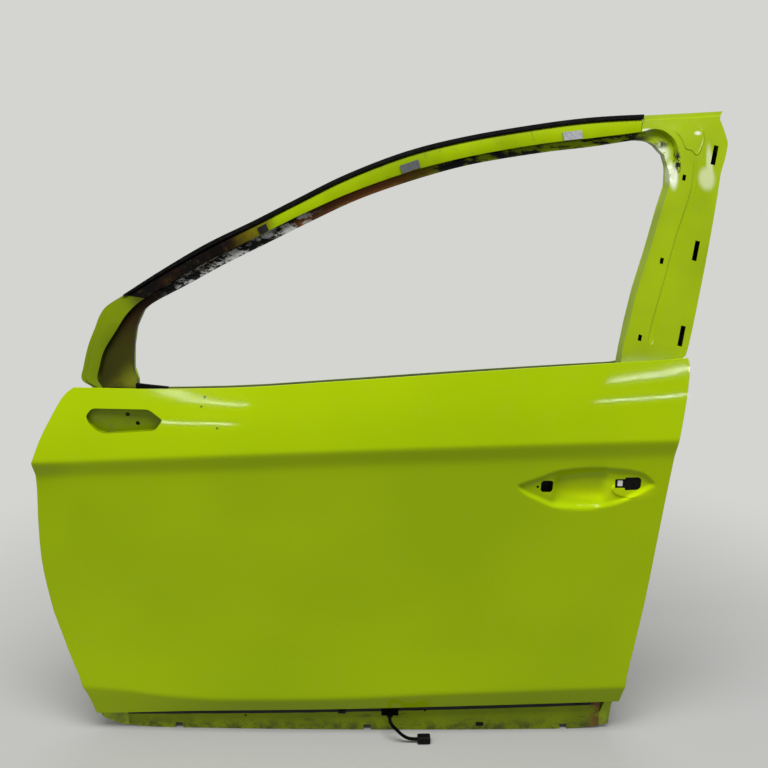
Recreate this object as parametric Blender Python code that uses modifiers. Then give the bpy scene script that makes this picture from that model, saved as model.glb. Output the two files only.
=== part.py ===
"""Front left car door shell: pressed steel panels and window frame, with the small fittings left on them.

Metres, Z up. X runs rearward, Y inboard. The origin is the centre of the upper hinge's face, on the
inner panel's front wall. The outer panel faces -Y.
"""

import math

import bmesh
import bpy
from mathutils import Matrix, Vector
from mathutils.geometry import delaunay_2d_cdt

# Sheet thicknesses and fits
SKIN_SHEET = 0.0008
PANEL_SHEET = 0.0010
FRAME_SHEET = 0.0010
PLATE_SHEET = 0.0030
FIT = 0.0003
CUT_OVERRUN = 0.010
MERGE = 0.00001
BOLT_SIDES = 8
SHARP_ANGLE = math.radians(32)
MIDDLE_SHARE = 0.5

# Outer panel, seen from outside
SKIN_LENGTH = 1.125
SKIN_FRONT = -0.040
OUTERMOST_Y = -0.070
CREASE_Z = 0.0845
CREASE_CLIMB = 0.045
CREASE_ARCH = 0.0065
BELT_RISE = 0.160
LOWER_DROP = 0.490
HEM_DROP = 0.525
SKIN_HOLLOW = 0.018
PLAN_BOW = 0.0148
FACET_SET = 0.0085
BELT_SET = 0.025
LOWER_SET = 0.009
HEM_SET = 0.019
TURN_WIDTH = 0.075
TURN_DEPTH = 0.007
HEM_RETURN = 0.008
HEM_ROLL = 0.0006
EDGE_STEPS = 14
LINE_STEPS = 20
PRESS_STEPS = 13
PRESS_MARGIN = 0.038
SLOPE_STEP = 0.0015
LEVEL_STEP = 0.03

# Heights of the feature lines along the panel: (share of SKIN_LENGTH, share of the line's own height)
BELT_SHARES = (
    (0.000, 0.680), (0.075, 0.676), (0.182, 0.666), (0.303, 0.680), (0.482, 0.759),
    (0.618, 0.828), (0.748, 0.891), (0.866, 0.941), (0.966, 0.980), (1.000, 1.000),
)
LOWER_SHARES = (
    (0.000, 0.950), (0.067, 0.958), (0.118, 0.966), (0.182, 0.985), (0.276, 0.999),
    (0.457, 0.991), (0.636, 0.968), (0.788, 0.955), (0.940, 0.946), (1.000, 0.943),
)
HEM_SHARES = (
    (0.000, 1.018), (0.060, 1.014), (0.236, 0.995), (0.456, 0.982), (0.724, 0.965),
    (0.943, 0.955), (1.000, 0.953),
)
PLAN_MIDDLE_SHARE = 0.591
# Ends of the panel: (level, share of SKIN_LENGTH), where level 0 is the hem, 1 the lower crease,
# 2 the shoulder crease and 3 the belt
FRONT_LOW_SHARES = (
    (0.00, 0.0613), (0.44, 0.0569), (1.00, 0.0462), (1.14, 0.0300), (1.25, 0.0187), (1.36, 0.0080),
    (1.58, 0.0000), (1.76, 0.0036), (1.86, 0.0080), (2.00, 0.0116),
)
FRONT_HIGH_SHARES = ((2.00, 0.0116), (2.31, 0.0267), (2.61, 0.0458), (2.90, 0.0667), (3.00, 0.0809))
REAR_LOW_SHARES = (
    (0.00, 0.940), (1.00, 0.945), (1.195, 0.957), (1.394, 0.968), (1.593, 0.975), (1.78, 0.981),
    (2.00, 0.988),
)
REAR_HIGH_SHARES = ((2.00, 0.988), (2.48, 0.996), (2.73, 0.999), (2.90, 1.000), (3.00, 0.9965))
# Depth of the section inboard of the crease: (level, share of SKIN_HOLLOW) between the two creases
HOLLOW_SHARES = (
    (1.00, 0.50), (1.10, 0.72), (1.20, 0.89), (1.40, 1.00), (1.70, 0.80), (1.88, 0.56), (1.94, 0.47),
)
FACET_LEVEL_SHARE = 1.94
UPPER_SHARES = ((2.00, 0.00), (2.50, 0.45), (3.00, 1.00))
TURN_SHARES = ((1.20, 0.0), (1.40, 0.25), (1.60, 0.55), (1.80, 0.85), (1.94, 1.0))
PRESS_LEVEL_SHARES = (0.5, 1.12, 1.28, 1.46, 1.64, 1.82, 2.33, 2.66)
REAR_LEVEL_SHARES = (0.5, 1.0, 1.2, 1.4, 1.6, 1.8, 1.94, 2.0, 2.3, 2.6, 2.85, 3.0)
FRONT_LEVEL_SHARES = (2.9, 2.6, 2.3, 2.0, 1.94, 1.82, 1.7, 1.58, 1.46, 1.34, 1.22, 1.1, 1.0, 0.5)

# Mirror hole in the outer panel
MIRROR_X = 0.071
MIRROR_Z = 0.116
MIRROR_LENGTH = 0.131
MIRROR_HEIGHT = 0.042
MIRROR_SHARES = (
    (0.000, 0.69), (0.084, 1.00), (0.824, 0.976), (0.969, 0.643), (1.000, 0.548), (0.901, 0.143),
    (0.244, 0.000), (0.145, 0.095), (0.046, 0.381),
)
MIRROR_SCREWS_SHARES = ((0.527, 0.714), (0.649, 0.333))
MIRROR_SCREW_HOLE = 0.0076
MIRROR_PAD_DEPTH = 0.012
MIRROR_PAD_MARGIN = 0.014
MIRROR_WALL = 0.002
MIRROR_LIP = 0.0045

# Handle recess in the outer panel
HANDLE_X = 0.803
HANDLE_Z = 0.024
HANDLE_LENGTH = 0.240
HANDLE_RISE = 0.032
HANDLE_FALL = 0.044
LEAF_TOP_SHARES = (
    (0.0, 0.0), (0.154, 0.42), (0.296, 0.82), (0.54, 1.0), (0.754, 0.90), (0.892, 0.68), (1.0, 0.0),
)
LEAF_BOTTOM_SHARES = (
    (0.0, 0.0), (0.046, 0.30), (0.171, 0.68), (0.279, 0.93), (0.496, 1.0), (0.675, 0.90),
    (0.846, 0.54), (1.0, 0.0),
)
LEAF_X_SHARES = (
    0.025, 0.07, 0.13, 0.19, 0.25, 0.285, 0.32, 0.42, 0.52, 0.61, 0.64, 0.67, 0.74, 0.80, 0.87, 0.93,
    0.975,
)
RIB_SHARES = (0.07, 0.13, 0.25, 0.285, 0.32, 0.42, 0.52, 0.61, 0.64, 0.67, 0.93)
RIB_UP_SHARES = (0.13, 0.32, 0.5, 0.68, 0.87)
LAND_DEPTH = 0.005
LAND_RAMP = 0.006
SCOOP_DEPTH = 0.017
SCOOP_FALL = 0.012
SCOOP_ROUND = 0.8
SCOOP_SHARES = ((0.25, 0.0), (0.32, 1.0), (0.61, 1.0), (0.67, 0.0))
GRIP_HOLE = (0.022, 0.022)
GRIP_HOLE_SHARES = (0.221, -0.12)
GRIP_CORNER = 0.0037
PIN_HOLE = 0.0050
PIN_HOLE_SHARES = (0.154, -0.14)
LOCK_SLOT = (0.018, 0.016)
LOCK_SLOT_SHARES = (0.745, 0.03)
LOCK_HOLE = (0.028, 0.024)
LOCK_HOLE_SHARES = (0.840, 0.0)
LOCK_CORNER = 0.0048

# Window frame
FRAME_HEIGHT = 0.450
FRAME_Z = 0.195
FRAME_LEAN = math.radians(21)
FRAME_SET = 0.0035
FRAME_BOX = 0.036
LIP_WIDTH = 0.007
LIP_DEPTH = 0.003
LIP_STEP = 0.002
LIP_EASE = 0.0006
RUN_DEPTH = 0.012
RUN_STEP = 0.003
RUN_FLANGE = 0.014
INNER_LIP = 0.009
SEAL_WIDTH = 0.0085
SEAL_THICKNESS = 0.006
SEAL_SHARES = ((-0.2, 0), (0.8, 0), (0.8, 0.6), (0.6, 1), (0, 1), (-0.2, 0.6))
RUN_FALL = 0.001
RUN_FADE_PLACE = 9
BUTT_GAP = 0.0010
B_FOLD_PLACE = 2
INNER_TURN = 0.0155
CORNER_PLACES = 3
# Stations of the front post, from the tongue inside the door up: outer edge, face edge, window edge,
# each as (share of SKIN_LENGTH, share of FRAME_HEIGHT)
A_POST_SHARES = (
    ((0.120, -0.144), (0.132, -0.144), (0.169, -0.144)),
    ((0.116, -0.028), (0.127, -0.028), (0.172, -0.028)),
    ((0.092, 0.016), (0.116, 0.020), (0.172, 0.009)),
    ((0.093, 0.064), (0.118, 0.064), (0.165, 0.051)),
    ((0.099, 0.140), (0.124, 0.122), (0.164, 0.131)),
    ((0.108, 0.202), (0.140, 0.189), (0.167, 0.198)),
    ((0.115, 0.249), (0.154, 0.244), (0.177, 0.256)),
    ((0.126, 0.284), (0.169, 0.284), (0.188, 0.282)),
    ((0.151, 0.322), (0.184, 0.311), (0.203, 0.304)),
)
HEADER_SHARES = (
    ((0.151, 0.322), (0.184, 0.311), (0.203, 0.304)),
    ((0.210, 0.413), (0.234, 0.384), (0.246, 0.358)),
    ((0.278, 0.509), (0.292, 0.462), (0.301, 0.431)),
    ((0.348, 0.591), (0.360, 0.544), (0.368, 0.511)),
    ((0.413, 0.671), (0.425, 0.622), (0.433, 0.589)),
    ((0.489, 0.762), (0.500, 0.702), (0.508, 0.673)),
    ((0.581, 0.847), (0.590, 0.778), (0.596, 0.747)),
    ((0.676, 0.904), (0.681, 0.833), (0.684, 0.804)),
    ((0.786, 0.949), (0.788, 0.878), (0.791, 0.847)),
    ((0.867, 0.973), (0.867, 0.900), (0.867, 0.869)),
    ((0.945, 0.984), (0.941, 0.922), (0.932, 0.893)),
)
# Rear frame panel, in the same shares: rear edge from the belt up, then the window edge from the top down
B_REAR_SHARES = (
    (0.9852, 0.1056), (0.994, 0.116), (1.005, 0.204), (1.020, 0.347), (1.036, 0.507), (1.053, 0.693),
    (1.059, 0.767), (1.066, 0.816), (1.071, 0.862), (1.072, 0.887), (1.066, 0.942), (1.062, 0.967),
    (1.063, 0.980),
    (1.068, 1.000), (1.017, 0.993), (0.945, 0.984),
)
B_WINDOW_SHARES = (
    (0.932, 0.893), (0.947, 0.891), (0.958, 0.884), (0.966, 0.871), (0.972, 0.853), (0.978, 0.838),
    (0.980, 0.818), (0.982, 0.798), (0.982, 0.776), (0.980, 0.724), (0.968, 0.644), (0.947, 0.489),
    (0.926, 0.347), (0.911, 0.222), (0.898, 0.093), (0.900, -0.144),
)
B_TONGUE_SHARES = ((0.966, -0.144), (0.968, 0.085))
B_FACE_SHARES = (
    (0.941, 0.922), (0.956, 0.933), (0.970, 0.931), (0.981, 0.918), (0.991, 0.893), (0.996, 0.856),
    (0.993, 0.800), (0.987, 0.744),
)
B_GROOVE_SHARES = (
    (1.022, 0.822), (1.016, 0.707), (0.989, 0.529), (0.970, 0.382), (0.948, 0.220), (0.942, 0.153),
)
B_GROOVE_WIDTH = 0.014
B_GROOVE_DEPTH = 0.003
B_BIG_SLOT = (0.008, 0.033)
B_BIG_SHARES = ((1.051, 0.836), (1.016, 0.487), (0.989, 0.184))
B_SMALL_SLOT = (0.006, 0.010)
B_SMALL_SHARES = ((1.003, 0.753), (0.964, 0.451), (0.927, 0.178))
B_SLOT_TILT = math.radians(14)

# Inner panel, its depths measured inboard from the crease
DOOR_DEPTH = 0.122
FRONT_FOOT = 0.040
REAR_FOOT = 0.038
LEDGE_WIDTH = 0.018
LEDGE_RISE = 0.022
LEDGE_TILT = 0.002
LEDGE_DRAFT = 0.006
INNER_BELT_SET = 0.022
INNER_BELT_Z = 0.068
INNER_BELT_HEIGHT = 0.042
INNER_TURN_SHARES = (0.0, 0.5, 1.0)
INNER_ROW_MARGIN = 0.012
INNER_ROW_STEPS = 8
BELT_CLEARANCE = 0.015
FLANGE_INSET = 0.0022
PAN_Z = -0.472
PAN_HEIGHT = 0.658
HINGE_SHARE = -SKIN_FRONT / SKIN_LENGTH
# The wall's line: (share of SKIN_LENGTH, share of PAN_HEIGHT), front top, down, along the floor and up
PAN_SHARES = (
    (0.105, 1.000), (0.070, 0.933), (0.051, 0.872), (HINGE_SHARE, 0.824), (HINGE_SHARE, 0.620),
    (HINGE_SHARE, 0.440), (HINGE_SHARE, 0.239), (0.0420, 0.205), (0.0596, 0.140), (0.080, 0.079),
    (0.113, 0.026), (0.147, 0.005), (0.191, 0.000), (0.350, 0.000), (0.520, 0.000), (0.690, 0.000),
    (0.840, 0.000), (0.884, 0.006), (0.913, 0.033), (0.924, 0.087), (0.929, 0.163), (0.938, 0.254),
    (0.947, 0.400), (0.9645, 0.700), (0.966, 0.778), (0.969, 0.881), (0.973, 0.945), (0.9785, 1.006),
    (0.9795, 1.075),
)
# Where the flange stands on its own below the hem, by place in PAN_SHARES
LOW_FLANGE_SHARES = {
    9: (0.066, 0.010), 10: (0.094, -0.012), 11: (0.140, -0.020), 12: (0.191, -0.020), 13: (0.350, -0.018),
    14: (0.520, -0.015), 15: (0.690, -0.015), 16: (0.840, -0.017), 17: (0.887, -0.018), 18: (0.928, -0.006),
    19: (0.9315, 0.061),
}
HEM_EXIT_FRONT_Z = -0.386
HEM_EXIT_REAR_Z = -0.376
HEM_EXIT_INSET = 0.010
HEM_EXIT_FRONT_SHARE = 0.022
FOOT_BLEND_Z = -0.360
FOOT_BLEND = 0.060
ROW_GAP = 0.006
RIM_NUDGE = 0.0001

# Openings in the inner panel, by centre and size
SERVICE_X = (0.285, 0.790)
SERVICE_Z = (-0.225, 0.048)
SERVICE_CORNER = 0.045
SERVICE_SLANT = 0.060
ACCESS_X = (0.850, 0.955)
ACCESS_Z = (-0.170, 0.030)
ACCESS_CORNER = 0.025
SPEAKER_X = 0.170
SPEAKER_Z = -0.275
SPEAKER_RADIUS = 0.080
SPEAKER_SIDES = 20
RIM_WIDTH = 0.013
RIM_DEPTH = 0.005
CLIP_HOLE = 0.0045
CLIP_HOLE_SIDES = 6
CLIP_HOLE_SHARES = (
    (0.08, 0.70), (0.09, 0.30), (0.30, 0.06), (0.52, 0.06), (0.74, 0.06), (0.91, 0.28), (0.92, 0.62),
    (0.30, 0.93), (0.55, 0.93),
)

# Closing strip below the outer panel
BAND_X = (0.085, 0.985)
BAND_STEPS = 16
BAND_BOTTOM_Z = -0.485
BAND_SET = 0.031
BAND_LIP = 0.012
BAND_STEP = 0.001
BAND_CORNER = 0.040
BAND_CORNER_RISE = 0.006
DRAIN_SLOT = (0.014, 0.011)
DRAIN_X_SHARES = (0.198, 0.518, 0.851)
BAND_HOLE = 0.0050
BAND_HOLES_SHARES = ((0.312, 0.60), (0.4935, 0.80), (0.616, 0.72), (0.745, 0.85), (0.8924, 0.85))

# Hinge, check strap and latch hardware inside the pan
HINGE_SPACING = 0.265
HINGE_PLATE = (0.050, 0.084)
HINGE_BOLT = 0.0095
HINGE_BOLT_SPACING = 0.050
STRAP_DROP = 0.150
STRAP_PLATE = (0.046, 0.060)
STRAP_SLOT = (0.020, 0.030)
STRAP_BOLT = 0.0066
STRAP_BOLT_SPACING = 0.046
HARNESS_HOLE = 0.024
HARNESS_DROP = 0.2015
HARNESS_SIDES = 14
LATCH_SHARE = 0.55
LATCH_PLATE = (0.052, 0.110)
LATCH_SLOT = (0.030, 0.034)
LATCH_BOLT = 0.0066
LATCH_BOLT_SPACING = 0.074

# Rails, beam and guides
RAIL_DROP = 0.059
RAIL_TOP = 0.012
RAIL_TURN = 0.006
RAIL_FOOT = 0.068
RAIL_SHALLOW = 0.08
RAIL_DEEP_X = (0.220, 0.300)
INNER_RAIL_X = (0.108, 1.030)
BEAM_RADIUS = 0.016
BEAM_WALL = 0.0022
BEAM_FRONT_Z = -0.083
BEAM_REAR_Z = -0.257
BEAM_SET = 0.051
BEAM_END = 0.006
BEAM_SIDES = 14
BRACKET_SHEET = 0.0020
BRACKET_LENGTH = 0.080
BRACKET_HALF_HEIGHT = 0.034
BRACKET_WALL = 0.024
CHANNEL_WIDTH = 0.022
CHANNEL_DEPTH = 0.016
CHANNEL_SHEET = 0.0012
CHANNEL_SLACK = 0.0010
CHANNEL_SET = 0.004
FRONT_CHANNEL_Z = (0.175, -0.060)
REAR_CHANNEL_Z = (0.165, -0.130)
FRONT_FOOT_Z = -0.030
REAR_FOOT_Z = -0.100
FOOT_HEIGHT = 0.040
FOOT_LENGTH = 0.024
PAD_SHEET = 0.0020
PAD_X_SHARES = (0.30, 0.68)
PAD_GAP = 0.0006
PAD_LEVEL_SHARES = (1.28, 1.46, 1.64, 1.82)

# Fittings
CARRIER_BACK = 0.0365
CARRIER_FRONT_X = (0.830, 0.884)
CARRIER_REAR_X = (0.970, 1.026)
CARRIER_Z = (0.002, 0.042)
CARRIER_STEP = 0.003
DEPTH_PROBES = 8
TAB = (0.008, 0.004, 0.009)
FACE_MARGIN = 0.001
SILL_SEAL_X = (0.158, 0.185, 0.212)
SILL_SEAL_HEIGHTS = (0.008, 0.005, 0.002)
SILL_SEAL_WIDTH = 0.007
RAIL_PAD = (0.033, 0.014, 0.004)
PAD_FRONT_SHARE = 0.589
PAD_REAR_SHARE = 0.8356
HEADER_CLIP = (0.016, 0.012, 0.003)
HEADER_CLIP_SHARE = 0.365
CLIP_STEM = 0.0040
CLIP_HEAD = (0.014, 0.007)
CLIP_THICKNESS = 0.0030
CLIP_SIDES = 10
CLIP_BEVEL = 0.00075
CLIP_SHARES = ((0.4755, 0.75), (0.7085, 0.22), (0.8735, 0.88))
GROMMET_SHARE = (0.5565, 0.70)
GROMMET = (0.032, 0.014)
GROMMET_FLANGE = 0.0025
GROMMET_NOSE = 0.008
GROMMET_BEVEL = 0.0006
CABLE_DIAMETER = 0.006
CABLE_SEGMENTS = 6
# The cable's route from the grommet down to the plug
CABLE_ROUTE = (
    (0.5861, -0.0501, -0.4450), (0.5861, -0.0630, -0.4453), (0.5900, -0.0705, -0.4490),
    (0.5985, -0.0735, -0.4568), (0.6075, -0.0740, -0.4665), (0.6175, -0.0734, -0.4742),
    (0.6275, -0.0729, -0.4773), (0.6370, -0.0727, -0.4776),
)
PLUG = (0.024, 0.014, 0.015)
PLUG_BEVEL = 0.0018


# Shape functions

def smooth(table, at):
    """Value at a place along a table of (place, value), by a curve that never overshoots its points."""
    places = [row[0] for row in table]
    values = [row[1] for row in table]
    if at <= places[0] or at >= places[-1]:
        end = (0, 1) if at <= places[0] else (-2, -1)
        rise = (values[end[1]] - values[end[0]]) / (places[end[1]] - places[end[0]])
        return values[end[0]] + rise * (at - places[end[0]])
    last = len(places) - 1
    slopes = [(values[i + 1] - values[i]) / (places[i + 1] - places[i]) for i in range(last)]
    tangents = [slopes[0]]
    for before, after in zip(slopes, slopes[1:]):
        tangents.append(2 * before * after / (before + after) if before * after > 0 else 0)
    tangents.append(slopes[-1])
    i = max(k for k in range(last) if places[k] <= at)
    width = places[i + 1] - places[i]
    t = (at - places[i]) / width
    return (
        values[i] * (2 * t**3 - 3 * t**2 + 1)
        + tangents[i] * width * (t**3 - 2 * t**2 + t)
        + values[i + 1] * (3 * t**2 - 2 * t**3)
        + tangents[i + 1] * width * (t**3 - t**2)
    )


def straight(table, at):
    """Value at a place along a table of (place, value), by straight lines and level past its ends."""
    if at <= table[0][0]:
        return table[0][1]
    for (start, low), (end, high) in zip(table, table[1:]):
        if at <= end:
            return low + (high - low) * (at - start) / (end - start)
    return table[-1][1]


def ease(at):
    """0 to 1 with level ends."""
    at = min(max(at, 0), 1)
    return at * at * (3 - 2 * at)


def x_at(share):
    return SKIN_FRONT + SKIN_LENGTH * share


def share_at(x):
    return (x - SKIN_FRONT) / SKIN_LENGTH


def line_heights(share):
    """Heights of the hem, lower crease, shoulder crease and belt at a share of the length."""
    crease = CREASE_Z + CREASE_CLIMB * (share - MIDDLE_SHARE) + CREASE_ARCH * 4 * share * (1 - share)
    return (
        CREASE_Z - HEM_DROP * smooth(HEM_SHARES, share),
        CREASE_Z - LOWER_DROP * smooth(LOWER_SHARES, share),
        crease,
        CREASE_Z + BELT_RISE * smooth(BELT_SHARES, share),
    )


def level_height(share, level):
    lines = line_heights(share)
    low = min(max(int(level), 0), 2)
    return lines[low] + (level - low) * (lines[low + 1] - lines[low])


def level_at(x, z):
    """0 on the hem, 1 on the lower crease, 2 on the shoulder crease, 3 on the belt, and between them."""
    lines = line_heights(share_at(x))
    low = 0 if z < lines[1] else 1 if z < lines[2] else 2
    return low + (z - lines[low]) / (lines[low + 1] - lines[low])


def front_share(level):
    return smooth(FRONT_LOW_SHARES if level <= 2 else FRONT_HIGH_SHARES, level)


def rear_share(level):
    return smooth(REAR_LOW_SHARES if level <= 2 else REAR_HIGH_SHARES, level)


def plan_depth(x):
    """How far the panel's plan curves inboard of its middle."""
    return PLAN_BOW * ((share_at(x) - PLAN_MIDDLE_SHARE) / PLAN_MIDDLE_SHARE) ** 2


def leaf_edges(x):
    """Lower and upper edge of the handle recess at x, or None past its tips."""
    along = (x - HANDLE_X) / HANDLE_LENGTH
    if along <= 0 or along >= 1:
        return None
    low = HANDLE_Z - HANDLE_FALL * smooth(LEAF_BOTTOM_SHARES, along)
    return low, HANDLE_Z + HANDLE_RISE * smooth(LEAF_TOP_SHARES, along)


def recess_depth(x, z):
    """Depth of the handle recess: two flat lands with a scoop for the fingers between them."""
    edges = leaf_edges(x)
    if edges is None or not edges[0] < z < edges[1]:
        return 0
    low, high = edges
    tip = min(x - HANDLE_X, HANDLE_X + HANDLE_LENGTH - x)
    land = LAND_DEPTH * ease(min(high - z, z - low, tip) / LAND_RAMP)
    floor = HANDLE_Z - SCOOP_FALL
    reach = (z - floor) / (high - floor) if z > floor else (floor - z) / (floor - low)
    scoop = SCOOP_DEPTH * (1 - reach**2) ** SCOOP_ROUND
    blend = ease(straight(SCOOP_SHARES, (x - HANDLE_X) / HANDLE_LENGTH))
    return land * (1 - blend) + scoop * blend


def skin_y(x, z, recess=True):
    """The outer panel's outer face."""
    level = level_at(x, z)
    if level < 1:
        depth = LOWER_SET + (HEM_SET - LOWER_SET) * (1 - level)
    elif level < FACET_LEVEL_SHARE:
        depth = SKIN_HOLLOW * smooth(HOLLOW_SHARES, level)
    elif level < 2:
        depth = FACET_SET * (2 - level) / (2 - FACET_LEVEL_SHARE)
    else:
        depth = BELT_SET * smooth(UPPER_SHARES, level)
    turn = 0
    if level < 2:
        width = TURN_WIDTH * straight(TURN_SHARES, level)
        ahead = width - (x - x_at(front_share(min(max(level, 0), 2))))
        fade = min((2 - level) / (2 - FACET_LEVEL_SHARE), 1)
        turn = TURN_DEPTH * fade * max(ahead, 0) / TURN_WIDTH
    return OUTERMOST_Y + depth + plan_depth(x) + turn + (recess_depth(x, z) if recess else 0)


def behind_skin(x, z, distance, recess=False):
    """The point a distance inboard of the outer panel's outer face, square to it."""
    step = SLOPE_STEP
    slope_x = (skin_y(x + step, z, recess) - skin_y(x - step, z, recess)) / (2 * step)
    slope_z = (skin_y(x, z + step, recess) - skin_y(x, z - step, recess)) / (2 * step)
    inward = Vector((-slope_x, 1, -slope_z)).normalized()
    return Vector((x, skin_y(x, z, recess), z)) + inward * distance


def band_y(x):
    """Outer face of the strip below the outer panel."""
    return OUTERMOST_Y + BAND_SET + plan_depth(x)


def frame_y(x, z):
    """The window frame's outer face: behind the belt, upright inside the door and leaning inboard above."""
    belt = level_height(share_at(x), 3)
    lean = math.tan(FRAME_LEAN) * max(z - belt, 0)
    return OUTERMOST_Y + BELT_SET + plan_depth(x) + FRAME_SET + lean


def inner_y(z):
    """The inner panel's cabin face, drawn outboard towards the belt."""
    return OUTERMOST_Y + DOOR_DEPTH - INNER_BELT_SET * ease((z - INNER_BELT_Z) / INNER_BELT_HEIGHT)


def frame_point(shares):
    return x_at(shares[0]), FRAME_Z + FRAME_HEIGHT * shares[1]


# Mesh tools

def material(name, color, roughness, metallic=0.0):
    made = bpy.data.materials.new(name)
    made.use_nodes = True
    shader = made.node_tree.nodes["Principled BSDF"]
    shader.inputs["Base Color"].default_value = (*color, 1)
    shader.inputs["Roughness"].default_value = roughness
    shader.inputs["Metallic"].default_value = metallic
    return made


def new_object(name, mesh, look, group):
    mesh.shade_smooth()
    mesh.set_sharp_from_angle(angle=SHARP_ANGLE)
    made = bpy.data.objects.new(name, mesh)
    if look:
        mesh.materials.append(look)
    group.objects.link(made)
    return made


def grid_faces(rows, columns, first=0, flip=False):
    """Quads over points that lie row after row."""
    faces = []
    for row in range(rows - 1):
        for column in range(columns - 1):
            corner = first + row * columns + column
            face = (corner, corner + 1, corner + columns + 1, corner + columns)
            faces.append(face[::-1] if flip else face)
    return faces


def thicken(made, sheet):
    """Gives an open sheet its thickness, on the side its faces turn away from."""
    mesh = made.data
    work = bmesh.new()
    work.from_mesh(mesh)
    bmesh.ops.remove_doubles(work, verts=work.verts, dist=MERGE)
    work.to_mesh(mesh)
    work.free()
    solid = made.modifiers.new("sheet", "SOLIDIFY")
    solid.thickness = sheet
    solid.offset = -1
    solid.use_even_offset = True
    solid.use_quality_normals = True
    return made


def loft_sheet(name, rows, sheet, look, group, flip=False):
    """A sheet through rows of points, each row across the piece."""
    mesh = bpy.data.meshes.new(name)
    points = [point for row in rows for point in row]
    mesh.from_pydata(points, [], grid_faces(len(rows), len(rows[0]), flip=flip))
    return thicken(new_object(name, mesh, look, group), sheet)


def inset(loop, distance):
    """A closed outline moved inward, with its corners mitred. The outline runs anticlockwise."""
    moved = []
    for i, here in enumerate(loop):
        before = Vector(here) - Vector(loop[i - 1])
        after = Vector(loop[(i + 1) % len(loop)]) - Vector(here)
        left = Vector((-before.y, before.x)).normalized()
        right = Vector((-after.y, after.x)).normalized()
        moved.append(tuple(Vector(here) + distance * (left + right) / (1 + left.dot(right))))
    return moved


def rounded_box(x_range, z_range, corner, slant=0.0, steps=3):
    """A rectangle with round corners, its front end leaning by the slant, anticlockwise."""
    loop = []
    corners = (
        (x_range[0], z_range[0], 180), (x_range[1], z_range[0], 270),
        (x_range[1], z_range[1], 0), (x_range[0] + slant, z_range[1], 90),
    )
    for x, z, start in corners:
        middle_x = x + (corner if start in (180, 90) else -corner)
        middle_z = z + (corner if start in (180, 270) else -corner)
        for step in range(steps + 1):
            angle = math.radians(start + 90 * step / steps)
            loop.append((middle_x + corner * math.cos(angle), middle_z + corner * math.sin(angle)))
    return loop


def circle(x, z, radius, sides=BOLT_SIDES):
    turn = 2 * math.pi / sides
    return [(x + radius * math.cos(i * turn), z + radius * math.sin(i * turn)) for i in range(sides)]


def tilted_box(x, z, size, tilt=0.0):
    """A rectangle about its centre, its top leaning rearward by the tilt, anticlockwise."""
    half_x, half_z = size[0] / 2, size[1] / 2
    loop = []
    for across, up in ((-half_x, -half_z), (half_x, -half_z), (half_x, half_z), (-half_x, half_z)):
        loop.append((
            x + across * math.cos(tilt) + up * math.sin(tilt),
            z - across * math.sin(tilt) + up * math.cos(tilt),
        ))
    return loop


def inside(point, loop):
    crossings = False
    for (ax, az), (bx, bz) in zip(loop, loop[1:] + loop[:1]):
        if (az > point[1]) != (bz > point[1]):
            crossings ^= point[0] < ax + (point[1] - az) * (bx - ax) / (bz - az)
    return crossings


class Blank:
    """A flat sheet in X and Z: an outline, its holes, lines that become edges and points in between.

    Every point may carry a depth of its own, added to what the press gives it.
    """

    def __init__(self, outline, depth=0.0):
        self.points, self.depths, self.edges, self.holes = [], [], [], []
        self.outline = list(outline)
        self.add(outline, depth, closed=True)

    def add(self, line, depth=0.0, closed=False):
        first = len(self.points)
        self.points += [Vector(point) for point in line]
        self.depths += list(depth) if hasattr(depth, "__len__") else [depth] * len(line)
        self.edges += [(first + i, first + i + 1) for i in range(len(line) - 1)]
        if closed:
            self.edges.append((first + len(line) - 1, first))

    def hole(self, loop, depth=0.0):
        self.holes.append(list(loop))
        self.add(loop, depth, closed=True)

    def scatter(self, points, depth=0.0):
        for point in points:
            if inside(point, self.outline) and not any(inside(point, hole) for hole in self.holes):
                self.add([point], depth)

    def press(self, place):
        """Points in space and triangles, with the depth of each point added inboard."""
        flat, _, faces, origins, _, _ = delaunay_2d_cdt(self.points, self.edges, [], 0, MERGE)
        points = []
        for at, origin in zip(flat, origins):
            depth = self.depths[origin[0]] if origin else 0
            points.append(place(at.x, at.y) + Vector((0, depth, 0)))
        kept = []
        for face in faces:
            middle = sum((flat[i] for i in face), Vector((0, 0))) / len(face)
            if inside(middle, self.outline) and not any(inside(middle, hole) for hole in self.holes):
                kept.append(tuple(face))
        return points, kept


def mesh_object(name, points, faces, look, group):
    """An object from points and faces, with unused points dropped."""
    mesh = bpy.data.meshes.new(name)
    used = sorted({i for face in faces for i in face})
    place = {old: new for new, old in enumerate(used)}
    mesh.from_pydata([points[i] for i in used], [], [[place[i] for i in face] for face in faces])
    return new_object(name, mesh, look, group)


def cut(made, cutter):
    cutter.hide_render = True
    cutter.display_type = "WIRE"
    boolean = made.modifiers.new("cut", "BOOLEAN")
    boolean.object = cutter
    boolean.operation = "DIFFERENCE"
    boolean.solver = "EXACT"
    return made


def cylinder(name, radius, length, at, axis, group, sides):
    """A cylinder centred at a point, its length along the axis."""
    mesh = bpy.data.meshes.new(name)
    work = bmesh.new()
    bmesh.ops.create_cone(work, cap_ends=True, segments=sides, radius1=radius, radius2=radius, depth=length)
    turn = Vector(axis).normalized().to_track_quat("Z", "Y").to_matrix().to_4x4()
    bmesh.ops.transform(work, matrix=Matrix.Translation(at) @ turn, verts=work.verts)
    work.to_mesh(mesh)
    work.free()
    return new_object(name, mesh, None, group)


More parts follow.
